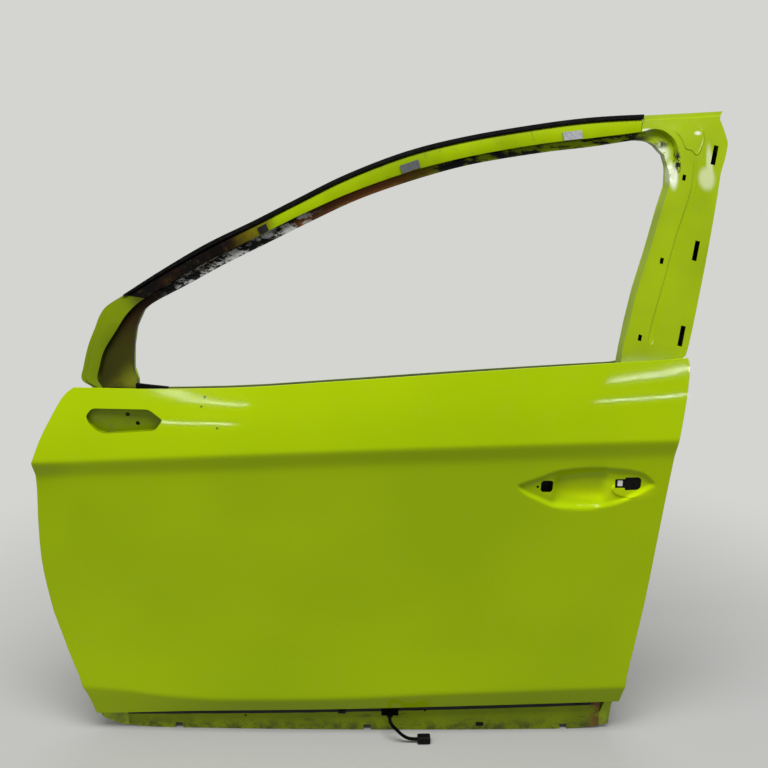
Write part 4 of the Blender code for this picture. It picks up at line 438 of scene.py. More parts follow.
def skin_ring(distance):
    """The outline moved inward, its points on the two ends kept on their own levels."""
    loop = inset(skin_outline(), distance)
    rear_first = EDGE_STEPS + 1
    front_first = 2 * EDGE_STEPS + 1 + len(REAR_LEVEL_SHARES)
    ends = (
        (rear_first, REAR_LEVEL_SHARES[:-1], rear_share, -1),
        (front_first, FRONT_LEVEL_SHARES, front_share, 1),
    )
    for first, levels, share_of, way in ends:
        for i, level in enumerate(levels):
            low, high = share_of(level - LEVEL_STEP), share_of(level + LEVEL_STEP)
            rise = level_height(high, level + LEVEL_STEP) - level_height(low, level - LEVEL_STEP)
            lean = math.hypot(x_at(high) - x_at(low), rise) / rise
            x = x_at(share_of(level)) + way * distance * lean
            loop[first + i] = (x, level_height(share_at(x), level))
    return loop


def mirror_loop():
    """The mirror hole, anticlockwise."""
    shares = MIRROR_SHARES[::-1]
    return [(MIRROR_X + MIRROR_LENGTH * across, MIRROR_Z + MIRROR_HEIGHT * up) for across, up in shares]


def handle_place(shares):
    """A place in the handle recess: share of its length, and share of its rise above its tips."""
    return HANDLE_X + HANDLE_LENGTH * shares[0], HANDLE_Z + HANDLE_RISE * shares[1]


def handle_holes():
    """Two openings in the handle recess: the grip's, and the lock's slot and hole joined in one."""
    x, z = handle_place(LOCK_SLOT_SHARES)
    lock_x, lock_z = handle_place(LOCK_HOLE_SHARES)
    slot_low, slot_high = z - LOCK_SLOT[1] / 2, z + LOCK_SLOT[1] / 2
    lock_low, lock_high = lock_z - LOCK_HOLE[1] / 2, lock_z + LOCK_HOLE[1] / 2
    step_x = lock_x - LOCK_HOLE[0] / 2
    end_x = lock_x + LOCK_HOLE[0] / 2
    start_x = x - LOCK_SLOT[0] / 2
    lock = [
        (start_x, slot_low), (step_x, slot_low), (step_x, lock_low), (end_x - LOCK_CORNER, lock_low),
        (end_x, lock_low + LOCK_CORNER), (end_x, lock_high - LOCK_CORNER), (end_x - LOCK_CORNER, lock_high),
        (step_x, lock_high), (step_x, slot_high), (start_x, slot_high),
    ]
    grip_x, grip_z = handle_place(GRIP_HOLE_SHARES)
    across, up = GRIP_HOLE[0] / 2, GRIP_HOLE[1] / 2
    grip = rounded_box((grip_x - across, grip_x + across), (grip_z - up, grip_z + up), GRIP_CORNER, 1)
    return grip, lock


def open_inset(line, distance):
    """An open line moved to its left."""
    moved = []
    for i, here in enumerate(line):
        sides = []
        if i > 0:
            before = Vector(here) - Vector(line[i - 1])
            sides.append(Vector((-before.y, before.x)).normalized())
        if i < len(line) - 1:
            after = Vector(line[i + 1]) - Vector(here)
            sides.append(Vector((-after.y, after.x)).normalized())
        total = sides[0] + sides[-1]
        moved.append(tuple(Vector(here) + distance * total / (1 + sides[0].dot(sides[-1]))))
    return moved


def toward(start, end, distance):
    step = Vector(end) - Vector(start)
    return tuple(Vector(start) + step.normalized() * distance)


def on_frame(place, depth):
    x, z = place
    return Vector((x, frame_y(x, z) + depth, z))


def grid_faces(rows, columns, first=0):
    """Quads over points that lie row after row."""
    faces = []
    for row in range(rows - 1):
        for column in range(columns - 1):
            corner = first + row * columns + column
            faces.append((corner, corner + 1, corner + columns + 1, corner + columns))
    return faces


def curve_point(four, t):
    """The place at a share of the way between the middle two of four points, on a smooth curve."""
    a, b, c, d = [Vector(point) for point in four]
    return (2 * b + (c - a) * t + (2 * a - 5 * b + 4 * c - d) * t**2 + (3 * b - a - 3 * c + d) * t**3) / 2


def four_around(line, i):
    """The points about one stretch of a line, its ends repeated."""
    return [line[max(i - 1, 0)], line[i], line[i + 1], line[min(i + 2, len(line) - 1)]]


def route_points(route, count):
    """Points along a smooth curve through the route's own points."""
    knots = [Vector(point) for point in route]
    knots = [2 * knots[0] - knots[1], *knots, 2 * knots[-1] - knots[-2]]
    points = []
    for i in range(count + 1):
        place = (len(route) - 1) * i / count
        k = min(int(place), len(route) - 2)
        points.append(curve_point(knots[k:k + 4], place - k))
    return points


# Values of the finer sheets
SOFT_SHARES = (-1, -0.5, 0, 0.5, 1)
CREASE_SOFT = 0.004
RECESS_SOFT = 0.0015
SKIN_STEP = 0.0095
RECESS_STEP = 0.003
FLOOR_Z = -0.4853
BOSS_X = 1.001
BOSS_Z = 0.0150
BOSS_HALF_LENGTH = 0.0325
BOSS_HALF_HEIGHT = 0.0162
BOSS_EDGE = 0.05
BOSS_RISE = 0.0026
BOSS_RINGS = (0.91, 0.95, 1.0, 1.05, 1.09)
BOSS_POINTS = 44
BOSS_MARGIN_SHARE = 0.05
BOSS_FRONT_SHARE = 0.5
BOSS_START = math.pi * 0.36
BOSS_TURN = math.pi * 1.28
MIRROR_ROUND = 0.006
GRIP_ROUND = 0.003
LOCK_ROUND = 0.002
LOCK_ROUND_STEPS = 2
PIN_SIDES = 16
LEAF_MARGIN = 0.004
LEAF_FALL = 0.046
LEAF_RISE = 0.034
ROW_MARGIN = 0.004
HOLE_MARGIN = 0.002
HOLE_CLEAR = 0.001
HEM_BEND_SHARES = (0.12, 0.88)
CORNER_LIMIT = 2.2
FACE_SOFT_SHARE = 0.4
RUN_SHOULDER_SHARE = 0.2
RUN_BEND_SHARES = (0.06, 0.6, 0.96)
RUN_FLOOR_SHARES = (0.12, 0.55, 0.08)
RUN_EDGE_FALL = 1.6
RUN_STRIPS = 5
FRAME_STEPS = 6
WINDOW_STEPS = 4
SIDE_STEPS = 2
CREASE_STEPS = 3
CORNER_CREASE_SHARES = (
    (0.9892, 0.9348), (1.0007, 0.9025), (1.0074, 0.863), (1.0163, 0.8559),
    (1.0235, 0.8379), (1.0308, 0.8631), (1.0362, 0.9063), (1.0314, 0.9351),
)
CREASE_RISE = 0.0016
CREASE_REACH = 2
CREASE_SECTION = ((0.0018, 0), (0, 1), (-0.0018, 0))
GROOVE_FINE = 0.0022
GROOVE_REACH = 3
GROOVE_SECTION = ((0.0046, 0), (0.0034, 1), (0, 1), (-0.0034, 1), (-0.0046, 0))
SHARP_ANGLE = 35
REAR_SHARP_ANGLE = 24
SEAL_SHARP_ANGLE = 50
SKIN_LEVELS = (
    0.25, 0.5, 0.75, 0.9, 0.96, 1.0, 1.01, 1.02, 1.04, 1.06, 1.09, 1.13, 1.17, 1.21, 1.25, 1.29, 1.33, 1.37,
    1.41, 1.45, 1.49, 1.53, 1.57, 1.61, 1.65, 1.69, 1.73, 1.77, 1.80, 1.83, 1.86, 1.89, 1.91, 1.925, 1.94,
    1.955, 1.97, 1.98, 1.99, 2.0, 2.02, 2.04, 2.07, 2.11, 2.17, 2.24, 2.32, 2.4, 2.48, 2.56, 2.64, 2.72, 2.8,
    2.88, 2.94,
)


def pressed_y(x, z):
    """The outer panel's outer face before its creases are rounded, without the handle recess."""
    level = level_at(x, z)
    if level < 1:
        depth = LOWER_SET + (HEM_SET - LOWER_SET) * (1 - level)
    elif level < FACET_LEVEL_SHARE:
        depth = SKIN_HOLLOW * smooth(HOLLOW_SHARES, level)
    elif level < 2:
        depth = FACET_SET * (2 - level) / (2 - FACET_LEVEL_SHARE)
    else:
        depth = BELT_SET * smooth(UPPER_SHARES, level)
    turn = 0
    if level < 2:
        width = TURN_WIDTH * straight(TURN_SHARES, level)
        ahead = width - (x - x_at(front_share(min(max(level, 0), 2))))
        fade = min((2 - level) / (2 - FACET_LEVEL_SHARE), 1)
        turn = TURN_DEPTH * fade * max(ahead, 0) / TURN_WIDTH
    return OUTERMOST_Y + depth + plan_depth(x) + turn


def boss_height(x, z):
    """The raised oval round the handle's rear opening, with its edge at the front only."""
    ring = math.hypot((x - BOSS_X) / BOSS_HALF_LENGTH, (z - BOSS_Z) / BOSS_HALF_HEIGHT)
    edge = max(0, min(1, (1 + BOSS_EDGE - ring) / (2 * BOSS_EDGE)))
    front = max(0, min(1, (BOSS_X + BOSS_HALF_LENGTH / 2 - x) / BOSS_HALF_LENGTH))
    return BOSS_RISE * edge * edge * (3 - 2 * edge) * front


def skin_y(x, z):
    """The outer face with rounded creases, the handle recess and its raised oval."""
    total = 0
    for share in SOFT_SHARES:
        total += pressed_y(x, z + CREASE_SOFT * share) / len(SOFT_SHARES)
    if abs(z - HANDLE_Z) < HANDLE_FALL + RECESS_SOFT and x > HANDLE_X - RECESS_SOFT:
        steps = (-RECESS_SOFT, 0, RECESS_SOFT)
        for step_x in steps:
            for step_z in steps:
                total += recess_depth(x + step_x, z + step_z) / len(steps) ** 2
        total -= boss_height(x, z)
    return total


def behind_skin(x, z, distance):
    """The point a distance inboard of the outer face, square to it."""
    step = SLOPE_STEP
    slope_x = (skin_y(x + step, z) - skin_y(x - step, z)) / (2 * step)
    slope_z = (skin_y(x, z + step) - skin_y(x, z - step)) / (2 * step)
    return Vector((x, skin_y(x, z), z)) + Vector((-slope_x, 1, -slope_z)).normalized() * distance


def shaded(made, angle):
    made.data.shade_smooth()
    made.data.set_sharp_from_angle(angle=math.radians(angle))
    return made


def add_mesh(name, points, faces, indexes=None):
    mesh = bpy.data.meshes.new(name)
    used = sorted({i for face in faces for i in face})
    place = {old: new for new, old in enumerate(used)}
    mesh.from_pydata([points[i] for i in used], [], [[place[i] for i in face] for face in faces])
    if indexes:
        mesh.polygons.foreach_set("material_index", indexes)
    made = bpy.data.objects.new(name, mesh)
    bpy.context.scene.collection.objects.link(made)
    return made


def reworked(made, change):
    """Runs a change on the piece's mesh."""
    work = bmesh.new()
    work.from_mesh(made.data)
    change(work)
    work.to_mesh(made.data)
    work.free()


def solid_sheet(made, sheet, angle=SHARP_ANGLE):
    """Merges the sheet's seams and gives it its thickness, inboard of its outer face."""
    reworked(made, lambda work: bmesh.ops.remove_doubles(work, verts=work.verts, dist=MERGE))
    solid = made.modifiers.new("sheet", "SOLIDIFY")
    solid.thickness = sheet
    solid.offset = -1
    solid.use_even_offset = True
    solid.use_quality_normals = True
    seen = made.evaluated_get(bpy.context.evaluated_depsgraph_get())
    thick = bpy.data.meshes.new_from_object(seen)
    made.modifiers.clear()
    made.data = thick
    return shaded(made, angle)


def near_loop(point, loop, distance):
    for start, end in zip(loop, loop[1:] + loop[:1]):
        start, end = Vector(start), Vector(end)
        along = end - start
        share = max(0, min(1, (Vector(point) - start).dot(along) / max(along.length_squared, MERGE**2)))
        if (start + along * share - Vector(point)).length < distance:
            return True
    return False


def rounded_loop(loop, corner, steps=3):
    """A closed outline with its corners cut round."""
    out = []
    for i, here in enumerate(loop):
        here, before, after = Vector(here), Vector(loop[i - 1]), Vector(loop[(i + 1) % len(loop)])
        reach = min(corner, (here - before).length / CORNER_LIMIT, (after - here).length / CORNER_LIMIT)
        start, end = here + (before - here).normalized() * reach, here + (after - here).normalized() * reach
        for k in range(steps + 1):
            t = k / steps
            out.append(tuple((1 - t) ** 2 * start + 2 * t * (1 - t) * here + t * t * end))
    return out


def on_boss_edge(point):
    x, z = (point[0] - BOSS_X) / BOSS_HALF_LENGTH, (point[1] - BOSS_Z) / BOSS_HALF_HEIGHT
    low, high = BOSS_RINGS[0] - BOSS_MARGIN_SHARE, BOSS_RINGS[-1] + BOSS_MARGIN_SHARE
    return x < BOSS_FRONT_SHARE and low < math.hypot(x, z) < high


def fine_skin():
    outline = skin_outline()
    edge = skin_ring(HEM_ROLL)
    blank = Blank(edge)
    grip, lock = handle_holes()
    holes = [rounded_loop(mirror_loop(), MIRROR_ROUND), rounded_loop(grip, GRIP_ROUND)]
    holes.append(circle(*handle_place(PIN_HOLE_SHARES), PIN_HOLE / 2, PIN_SIDES))
    holes.append(rounded_loop(lock, LOCK_ROUND, LOCK_ROUND_STEPS))
    for hole in holes:
        blank.hole(hole)
    leaf_x = (HANDLE_X - LEAF_MARGIN, HANDLE_X + HANDLE_LENGTH + LEAF_MARGIN)
    leaf_z = (HANDLE_Z - LEAF_FALL, HANDLE_Z + LEAF_RISE)
    leaf = [(leaf_x[0], leaf_z[0]), (leaf_x[1], leaf_z[0]), (leaf_x[1], leaf_z[1]), (leaf_x[0], leaf_z[1])]
    kept = []
    for level in SKIN_LEVELS:
        first, last = x_at(front_share(level)) + ROW_MARGIN, x_at(rear_share(level)) - ROW_MARGIN
        count = round((last - first) / SKIN_STEP)
        for i in range(count + 1):
            x = first + (last - first) * i / count
            kept.append((x, level_height(share_at(x), level)))
    kept = [point for point in kept if not inside(point, leaf)]
    count_x, count_z = [round((high - low) / RECESS_STEP) for low, high in (leaf_x, leaf_z)]
    for i in range(count_x + 1):
        for k in range(count_z + 1):
            kept.append((leaf_x[0] + RECESS_STEP * i, leaf_z[0] + RECESS_STEP * k))
    kept = [point for point in kept if not on_boss_edge(point)]
    for ring in BOSS_RINGS:
        for i in range(BOSS_POINTS):
            turn = BOSS_START + BOSS_TURN * i / (BOSS_POINTS - 1)
            kept.append((
                BOSS_X + BOSS_HALF_LENGTH * ring * math.cos(turn),
                BOSS_Z + BOSS_HALF_HEIGHT * ring * math.sin(turn),
            ))
    near = [point for point in kept if inside(point, blank.outline)]
    for hole in holes:
        low = [min(p[a] for p in hole) - HOLE_MARGIN for a in (0, 1)]
        high = [max(p[a] for p in hole) + HOLE_MARGIN for a in (0, 1)]
        near = [
            point for point in near
            if not (low[0] < point[0] < high[0] and low[1] < point[1] < high[1])
            or not (inside(point, hole) or near_loop(point, hole, HOLE_CLEAR))
        ]
    for point in near:
        blank.add([point])
    points, faces = blank.press(lambda x, z: Vector((x, skin_y(x, z), z)))
    fold = SKIN_SHEET + FIT + PANEL_SHEET + FIT + SKIN_SHEET
    rims = []
    for rim, close, back in zip(outline, edge, skin_ring(HEM_RETURN)):
        mid = (Vector(rim) + Vector(close)) / 2
        rims.append([
            Vector((close[0], skin_y(*close), close[1])),
            behind_skin(*mid, fold * HEM_BEND_SHARES[0]),
            behind_skin(*rim, fold / 2),
            behind_skin(*mid, fold * HEM_BEND_SHARES[1]),
            behind_skin(*close, fold),
            behind_skin(*back, fold),
        ])
    rims.append(rims[0])
    faces += grid_faces(len(rims), len(rims[0]), len(points))
    points += [point for rim in rims for point in rim]
    return solid_sheet(add_mesh("outer_skin_fine", points, faces), SKIN_SHEET)


def finer(stations, steps):
    """Stations with rows between them, on smooth curves."""
    rows = []
    for i in range(len(stations) - 1):
        columns = list(zip(*four_around(stations, i)))
        rows += [[tuple(curve_point(column, step / steps)) for column in columns] for step in range(steps)]
    rows.append([tuple(place) for place in stations[-1]])
    return rows


def fine_row(station):
    """The points across the frame's outer sheet, from its edge over the face and the run to the window."""
    edge, face, window = frame_line(station)
    lip, step = toward(edge, face, LIP_WIDTH), toward(edge, face, LIP_WIDTH + LIP_STEP)
    run = toward(face, window, RUN_STEP)
    across = Vector(window) - Vector(run)
    top, bend, foot = RUN_BEND_SHARES
    near, middle, far = RUN_FLOOR_SHARES
    return [
        on_frame(edge, LIP_DEPTH),
        on_frame(lip, LIP_DEPTH),
        on_frame(toward(edge, face, LIP_WIDTH + LIP_STEP / 2), LIP_DEPTH / 2),
        on_frame(step, 0),
        on_frame(toward(face, edge, RUN_STEP * FACE_SOFT_SHARE), 0),
        on_frame(face, RUN_DEPTH * top),
        on_frame(toward(face, window, RUN_STEP * bend), RUN_DEPTH * bend),
        on_frame(run, RUN_DEPTH * foot),
        on_frame(tuple(Vector(run) + across * near), RUN_DEPTH),
        on_frame(tuple(Vector(run) + across * middle), RUN_DEPTH + RUN_FALL / 2),
        on_frame(tuple(Vector(window) - across * far), RUN_DEPTH + RUN_FALL),
        on_frame(window, RUN_DEPTH + RUN_FALL * RUN_EDGE_FALL),
        on_frame(window, RUN_DEPTH + RUN_FLANGE),
    ]


def fine_frame(name, stations, ends=(False, False)):
    """A frame's outer sheet with its run, cut back by the gap at the ends where it butts."""
    rows = [fine_row(station) for station in finer(stations, FRAME_STEPS)]
    for end, (index, neighbour) in zip(ends, ((0, 1), (-1, -2))):
        if end:
            pairs = zip(rows[index], rows[neighbour])
            rows[index] = [point + (other - point).normalized() * BUTT_GAP for point, other in pairs]
    width = len(rows[0])
    faces = grid_faces(len(rows), width)
    indexes = [1 if i % (width - 1) >= RUN_STRIPS else 0 for i in range(len(faces))]
    made = add_mesh(name, [point for row in rows for point in row], faces, indexes)
    return solid_sheet(made, FRAME_SHEET)


def smooth_line(line, steps):
    """A smooth line through places in X and Z."""
    out = []
    for i in range(len(line) - 1):
        out += [tuple(curve_point(four_around(line, i), step / steps)) for step in range(steps)]
    return [*out, tuple(line[-1])]


def add_ridge(blank, middle, section, depth, reach, short=0):
    """Lines beside a middle one, pressed to a section that fades over the reach at both ends.

    The lines at the sides may stop some points short of the middle one.
    """
    last = len(middle) - 1
    fades = [min(1, i / reach, (last - i) / reach) for i in range(last + 1)]
    for distance, share in section:
        line = open_inset(middle, distance) if distance else middle
        count = len(line) - (short if distance else 0)
        blank.add(line[:count], [depth * share * fade for fade in fades[:count]])


def fine_rear_panel():
    rear = frame_line(B_REAR_SHARES)
    coarse = frame_line(B_WINDOW_SHARES)
    window = smooth_line(coarse, WINDOW_STEPS)
    tongue = frame_line(B_TONGUE_SHARES)
    face = smooth_line(frame_line(B_FACE_SHARES), WINDOW_STEPS)
    corner, middle, end = rear[-3:]
    corner_lip = toward(corner, rear[-4], LIP_WIDTH)
    end_lip = toward(end, face[0], LIP_WIDTH)
    end_step = toward(end, face[0], LIP_WIDTH + LIP_STEP)
    end_run = toward(face[0], window[0], RUN_STEP)
    in_run = RUN_DEPTH + RUN_FALL
    faded = RUN_FADE_PLACE * WINDOW_STEPS
    widest = max(x for x, _ in rear)
    side = [(min(x, widest), z) for x, z in smooth_line(rear[:-4], SIDE_STEPS)]
    outline = [*side, rear[-4], corner_lip, corner, middle, end, end_lip, end_step, face[0], end_run]
    outline += [*window, *tongue]
    fade = 2 * WINDOW_STEPS
    window_depths = [in_run * (1 - ease((i - faded + fade) / fade)) for i in range(len(window))]
    depths = [0] * (len(side) + 1) + [LIP_DEPTH] * 5 + [0, 0, RUN_DEPTH] + window_depths + [0] * len(tongue)
    blank = Blank(outline, depths)
    for places, size in ((B_BIG_SHARES, B_BIG_SLOT), (B_SMALL_SHARES, B_SMALL_SLOT)):
        for place in places:
            blank.hole(tilted_box(*frame_point(place), size, B_SLOT_TILT))
    blank.add([corner_lip, (middle[0], middle[1] - LIP_WIDTH), end_lip], LIP_DEPTH)
    blank.add([rear[-4], (middle[0], middle[1] - LIP_WIDTH - LIP_STEP), end_step])
    blank.add(face)
    blank.add(open_inset(face, RUN_STEP / 2)[1:-1], 0)
    blank.add(open_inset(face, -RUN_STEP * FACE_SOFT_SHARE)[1:-1], RUN_DEPTH * RUN_SHOULDER_SHARE)
    blank.add([end_run, *open_inset(face, -RUN_STEP)[1:-1]], RUN_DEPTH)
    groove = smooth_line(frame_line(B_GROOVE_SHARES), WINDOW_STEPS)
    add_ridge(blank, groove, GROOVE_SECTION, GROOVE_FINE, GROOVE_REACH, short=1)
    crease = smooth_line(frame_line(CORNER_CREASE_SHARES), CREASE_STEPS)
    add_ridge(blank, crease, CREASE_SECTION, -CREASE_RISE, CREASE_REACH)
    points, faces = blank.press(lambda x, z: on_frame((x, z), 0))
    rows = [
        [on_frame(place, depth), on_frame(place, RUN_DEPTH + RUN_FLANGE)]
        for place, depth in zip(window, window_depths)
    ]
    faces += grid_faces(len(rows), len(rows[0]), len(points))
    points += [point for row in rows for point in row]
    return solid_sheet(add_mesh("b_post_outer_fine", points, faces), FRAME_SHEET, REAR_SHARP_ANGLE)


def fine_seal():
    rings = []
    for edge, face, _ in finer([frame_line(row) for row in HEADER_SHARES], FRAME_STEPS):
        ring = []
        for across, out in SEAL_SHARES:
            depth = LIP_DEPTH - FIT - SEAL_THICKNESS * out
            ring.append(on_frame(toward(edge, face, SEAL_WIDTH * across), depth))
        rings.append(ring)
    count = len(rings[0])
    points = [point for ring in rings for point in ring]
    faces = []
    for row in range(len(rings) - 1):
        for i in range(count):
            after = (i + 1) % count
            low, high = row * count, (row + 1) * count
            faces.append((low + i, low + after, high + after, high + i))
    faces += [tuple(range(count)), tuple(range(len(points) - 1, len(points) - count - 1, -1))]
    made = add_mesh("header_seal_fine", points, faces)
    reworked(made, lambda work: bmesh.ops.recalc_face_normals(work, faces=work.faces))
    return shaded(made, SEAL_SHARP_ANGLE)


# Materials

GREEN = (0.400, 0.560, 0.0)
GREEN_DEEP = (0.345, 0.500, 0.0)
GREEN_PAINTED_LIGHT = (0.56, 0.74, 0.0)
STRIP_GREEN = (0.235, 0.320, 0.004)
STRIP_GREEN_DEEP = (0.180, 0.250, 0.004)
RUST = (0.130, 0.045, 0.010)
STRIP_RUST = (0.17, 0.07, 0.02)
BLACK = (0.006, 0.006, 0.006)
SHADE = (0.004, 0.004, 0.003)
DUST = (0.42, 0.41, 0.36)
FLAKE = (0.40, 0.41, 0.39)
CHIP = (0.08, 0.10, 0.02)
PAINTED_GLINT = (0.62, 0.66, 0.50)
PAINTED_GLINT_DULL = (0.44, 0.50, 0.23)
GRIME = (0.10, 0.10, 0.05)
REAR_GRIME = (0.08, 0.09, 0.03)
FACE_GRIME = (0.05, 0.05, 0.01)
INNER_GRIME = (0.12, 0.12, 0.06)
INNER_DIRT = (0.10, 0.08, 0.04)
STRIP_DIRT = (0.035, 0.030, 0.018)
STRIP_SMEAR = (0.06, 0.065, 0.02)
SCORCH = (0.110, 0.070, 0.004)
BROWN = (0.018, 0.007, 0.002)
CHAR = (0.003, 0.002, 0.002)
RUN_CHAR = (0.004, 0.003, 0.003)
POST_BROWN = (0.022, 0.016, 0.002)
RECESS_BROWN = (0.020, 0.016, 0.003)
RECESS_GREEN = (0.150, 0.170, 0.008)
RECESS_SCORCH = (0.022, 0.008, 0.002)
RECESS_CHAR = (0.008, 0.006, 0.005)
STEEL = ((0.17, 0.20, 0.07), (0.12, 0.14, 0.06))
STEEL_DIRT = (0.05, 0.05, 0.04)
WHITE = ((0.72, 0.73, 0.70), (0.60, 0.60, 0.56))
FOAM_LIGHT = ((0.30, 0.31, 0.32), (0.20, 0.21, 0.22))
FOAM_DARK = ((0.075, 0.08, 0.085), (0.045, 0.05, 0.05))
FLOOR_PALE = (0.42, 0.42, 0.41)
FLOOR_DARK = (0.10, 0.10, 0.10)
PAINT_BUMP = 0.0006
STEEL_BUMP = 0.0005
PLASTIC_BUMP = 0.0004
FOAM_BUMP = 0.0006
POST_BUMP = 0.0008
STAIN_BUMP = 0.001
STRIP_BUMP = 0.0015
FLAKE_BUMP = 0.003
MARK_REACH = 0.08
CHIP_REACH = 0.05
CHIPS = (
    ((0.2743, -0.05, 0.1782), 0.0022), ((0.2683, -0.05, 0.1625), 0.0018), ((0.2948, -0.05, 0.1272), 0.0020),
)
# Painted light: a paler green over the handle recess, brightening it as if lit
PAINTED_LIGHT_PLACE = (0.9502, -0.03, 0.0119)
PAINTED_LIGHT_SIZE = (0.085, MARK_REACH, 0.020)
FRAME_FACE_Y = 0.05
# Marks in the rear panel's upper window corner: the pale ones are painted highlights, the black ones sealant
REAR_MARKS = (
    ((1.0545, 0.5760), (0.017, 0.021), 0.36, PAINTED_GLINT),
    ((1.0700, 0.5400), (0.008, 0.024), 0.30, PAINTED_GLINT),
    ((1.1330, 0.5560), (0.006, 0.036), 0.25, PAINTED_GLINT_DULL),
    ((1.1270, 0.5330), (0.014, 0.019), 0.22, PAINTED_GLINT_DULL),
    ((1.029, 0.6127), (0.014, 0.0035), 0.40, PAINTED_GLINT),
    ((1.1153, 0.608), (0.007, 0.004), 0.34, PAINTED_GLINT),
    ((1.0150, 0.5986), (0.030, 0.007), 0.34, BLACK),
    ((1.0560, 0.5900), (0.016, 0.009), 0.40, BLACK),
    ((1.0790, 0.5600), (0.005, 0.022), 0.42, BLACK),
)
STAIN_WANDER = 0.10
FACE_SCORCH_X = (0.450, 0.405)
FACE_BROWN_X = (0.425, 0.365)
FACE_CHAR_X = (0.405, 0.345)
RUN_RUST_X = (0.78, 0.62)
RUN_CHAR_X = (0.60, 0.44)
RUN_SEALANT_X = (0.62, 1.06, 0.06)
RUN_FLAKES_X = (0.185, 0.475, 0.05)
POST_BURN_RISE = (0.462, 0.520)
POST_WANDER = 0.03
RECESS_WANDER = 0.02
RECESS_EDGE_X = (0.088, 0.104)
RECESS_FOOT = (0.105, 0.045)
RECESS_RISE_WANDER = 0.06
RECESS_SCORCH_Z = (0.265, 0.350)
RECESS_CHAR_Z = (0.330, 0.385)
# Spots behind the rear frame's slots, painted black as shadow
SLOT_SHADOWS = ((1.135, 0.562), (1.100, 0.408), (1.077, 0.268))
SLOT_SHADOW_SIZE = (0.022, 0.12, 0.046)
STRIP_DIRT_Z = (-0.455, -0.482)
STRIP_RUST_X = (0.955, 0.985)
# The painted shadow of the hem along the strip's top: its height, rise along X, wander and softness
HEM_SHADOW_Z = -0.4590
HEM_SHADOW_RISE = 0.0271
HEM_SHADOW_WANDER = 0.002
HEM_SHADOW_SOFT = 0.001
INNER_DIRT_Z = (-0.40, -0.48)


class Look:
    """A node material with short calls for its nodes."""

    def __init__(self, name):
        self.material = bpy.data.materials.new(name)
        self.material.use_nodes = True
        self.tree = self.material.node_tree
        self.shader = self.tree.nodes["Principled BSDF"]
        self.place = self.node("ShaderNodeTexCoord").outputs["Object"]

    def node(self, kind, **settings):
        made = self.tree.nodes.new(kind)
        for key, value in settings.items():
            setattr(made, key, value)
        return made

    def feed(self, socket, value):
        if isinstance(value, bpy.types.NodeSocket):
            self.tree.links.new(value, socket)
        else:
            socket.default_value = value

    def fill(self, node, **values):
        """Gives a node's inputs their values, by names with underscores for spaces."""
        for key, value in values.items():
            self.feed(node.inputs[key.replace("_", " ")], value)

    def noise(self, scale, detail=2.0, roughness=0.5, stretch=(1, 1, 1), shift=(0, 0, 0)):
        mapping = self.node("ShaderNodeMapping")
        self.fill(mapping, Vector=self.place, Scale=stretch, Location=shift)
        made = self.node("ShaderNodeTexNoise")
        self.fill(made, Vector=mapping.outputs["Vector"], Scale=scale, Detail=detail, Roughness=roughness)
        return made.outputs["Fac"]

    def work_out(self, kind, operation, values):
        made = self.node(kind, operation=operation)
        for socket, value in zip(made.inputs, values):
            self.feed(socket, value)
        return made.outputs

    def math(self, operation, *values):
        return self.work_out("ShaderNodeMath", operation, values)[0]

    def vector_math(self, operation, *values):
        return self.work_out("ShaderNodeVectorMath", operation, values)

    def scaled(self, value, gain, low):
        return self.math("MULTIPLY_ADD", value, gain, low)

    def ramp(self, value, low, high):
        """0 below the low value to 1 above the high one."""
        made = self.node("ShaderNodeMapRange", interpolation_type="SMOOTHSTEP")
        self.fill(made, Value=value, From_Min=low, From_Max=high)
        return made.outputs["Result"]

    def between(self, value, low, high, soft):
        return self.math("MULTIPLY", self.ramp(value, low, low + soft), self.ramp(value, high, high - soft))

    def axes(self, source=None):
        """The parts of a direction or place along X, Y and Z."""
        made = self.node("ShaderNodeSeparateXYZ")
        self.feed(made.inputs[0], source or self.place)
        return made.outputs

    def blob(self, middle, size, edge=0.35):
        """1 inside an ellipsoid, 0 outside it."""
        shifted = self.vector_math("SUBTRACT", self.place, middle)["Vector"]
        scaled = self.vector_math("DIVIDE", shifted, size)["Vector"]
        return self.ramp(self.vector_math("LENGTH", scaled)["Value"], 1 + edge, 1 - edge)

    def mix(self, share, first, second):
        made = self.node("ShaderNodeMix", data_type="RGBA")
        self.feed(made.inputs["Factor"], share)
        for socket, value in ((made.inputs[6], first), (made.inputs[7], second)):
            self.feed(socket, (*value, 1) if isinstance(value, tuple) else value)
        return made.outputs[2]

    def cover(self, base, tone, share, strength=None):
        """The base with a tone over it, by a share that a strength may lower."""
        if strength is not None:
            share = self.math("MULTIPLY", share, strength)
        return self.mix(share, base, tone)

    def green(self, scale, tone, deep, detail=3.0):
        """The paint's green, darkened by two shares, with deeper clouds."""
        clouds = self.ramp(self.noise(scale, detail), 0.35, 0.7)
        return self.mix(clouds, tuple(v * tone for v in GREEN), tuple(v * deep for v in GREEN_DEEP))

    def finish(self, base, height, strength, distance, **values):
        """Gives the shader its color, its bump and its other values."""
        made = self.node("ShaderNodeBump")
        self.fill(made, Strength=strength, Distance=distance, Height=height)
        self.fill(self.shader, Base_Color=base, Normal=made.outputs["Normal"], **values)
        return self.material

    def painted(self, base, **values):
        """Finishes a paint with its orange peel."""
        return self.finish(base, self.noise(260, 2.0), 0.06, PAINT_BUMP, **values)


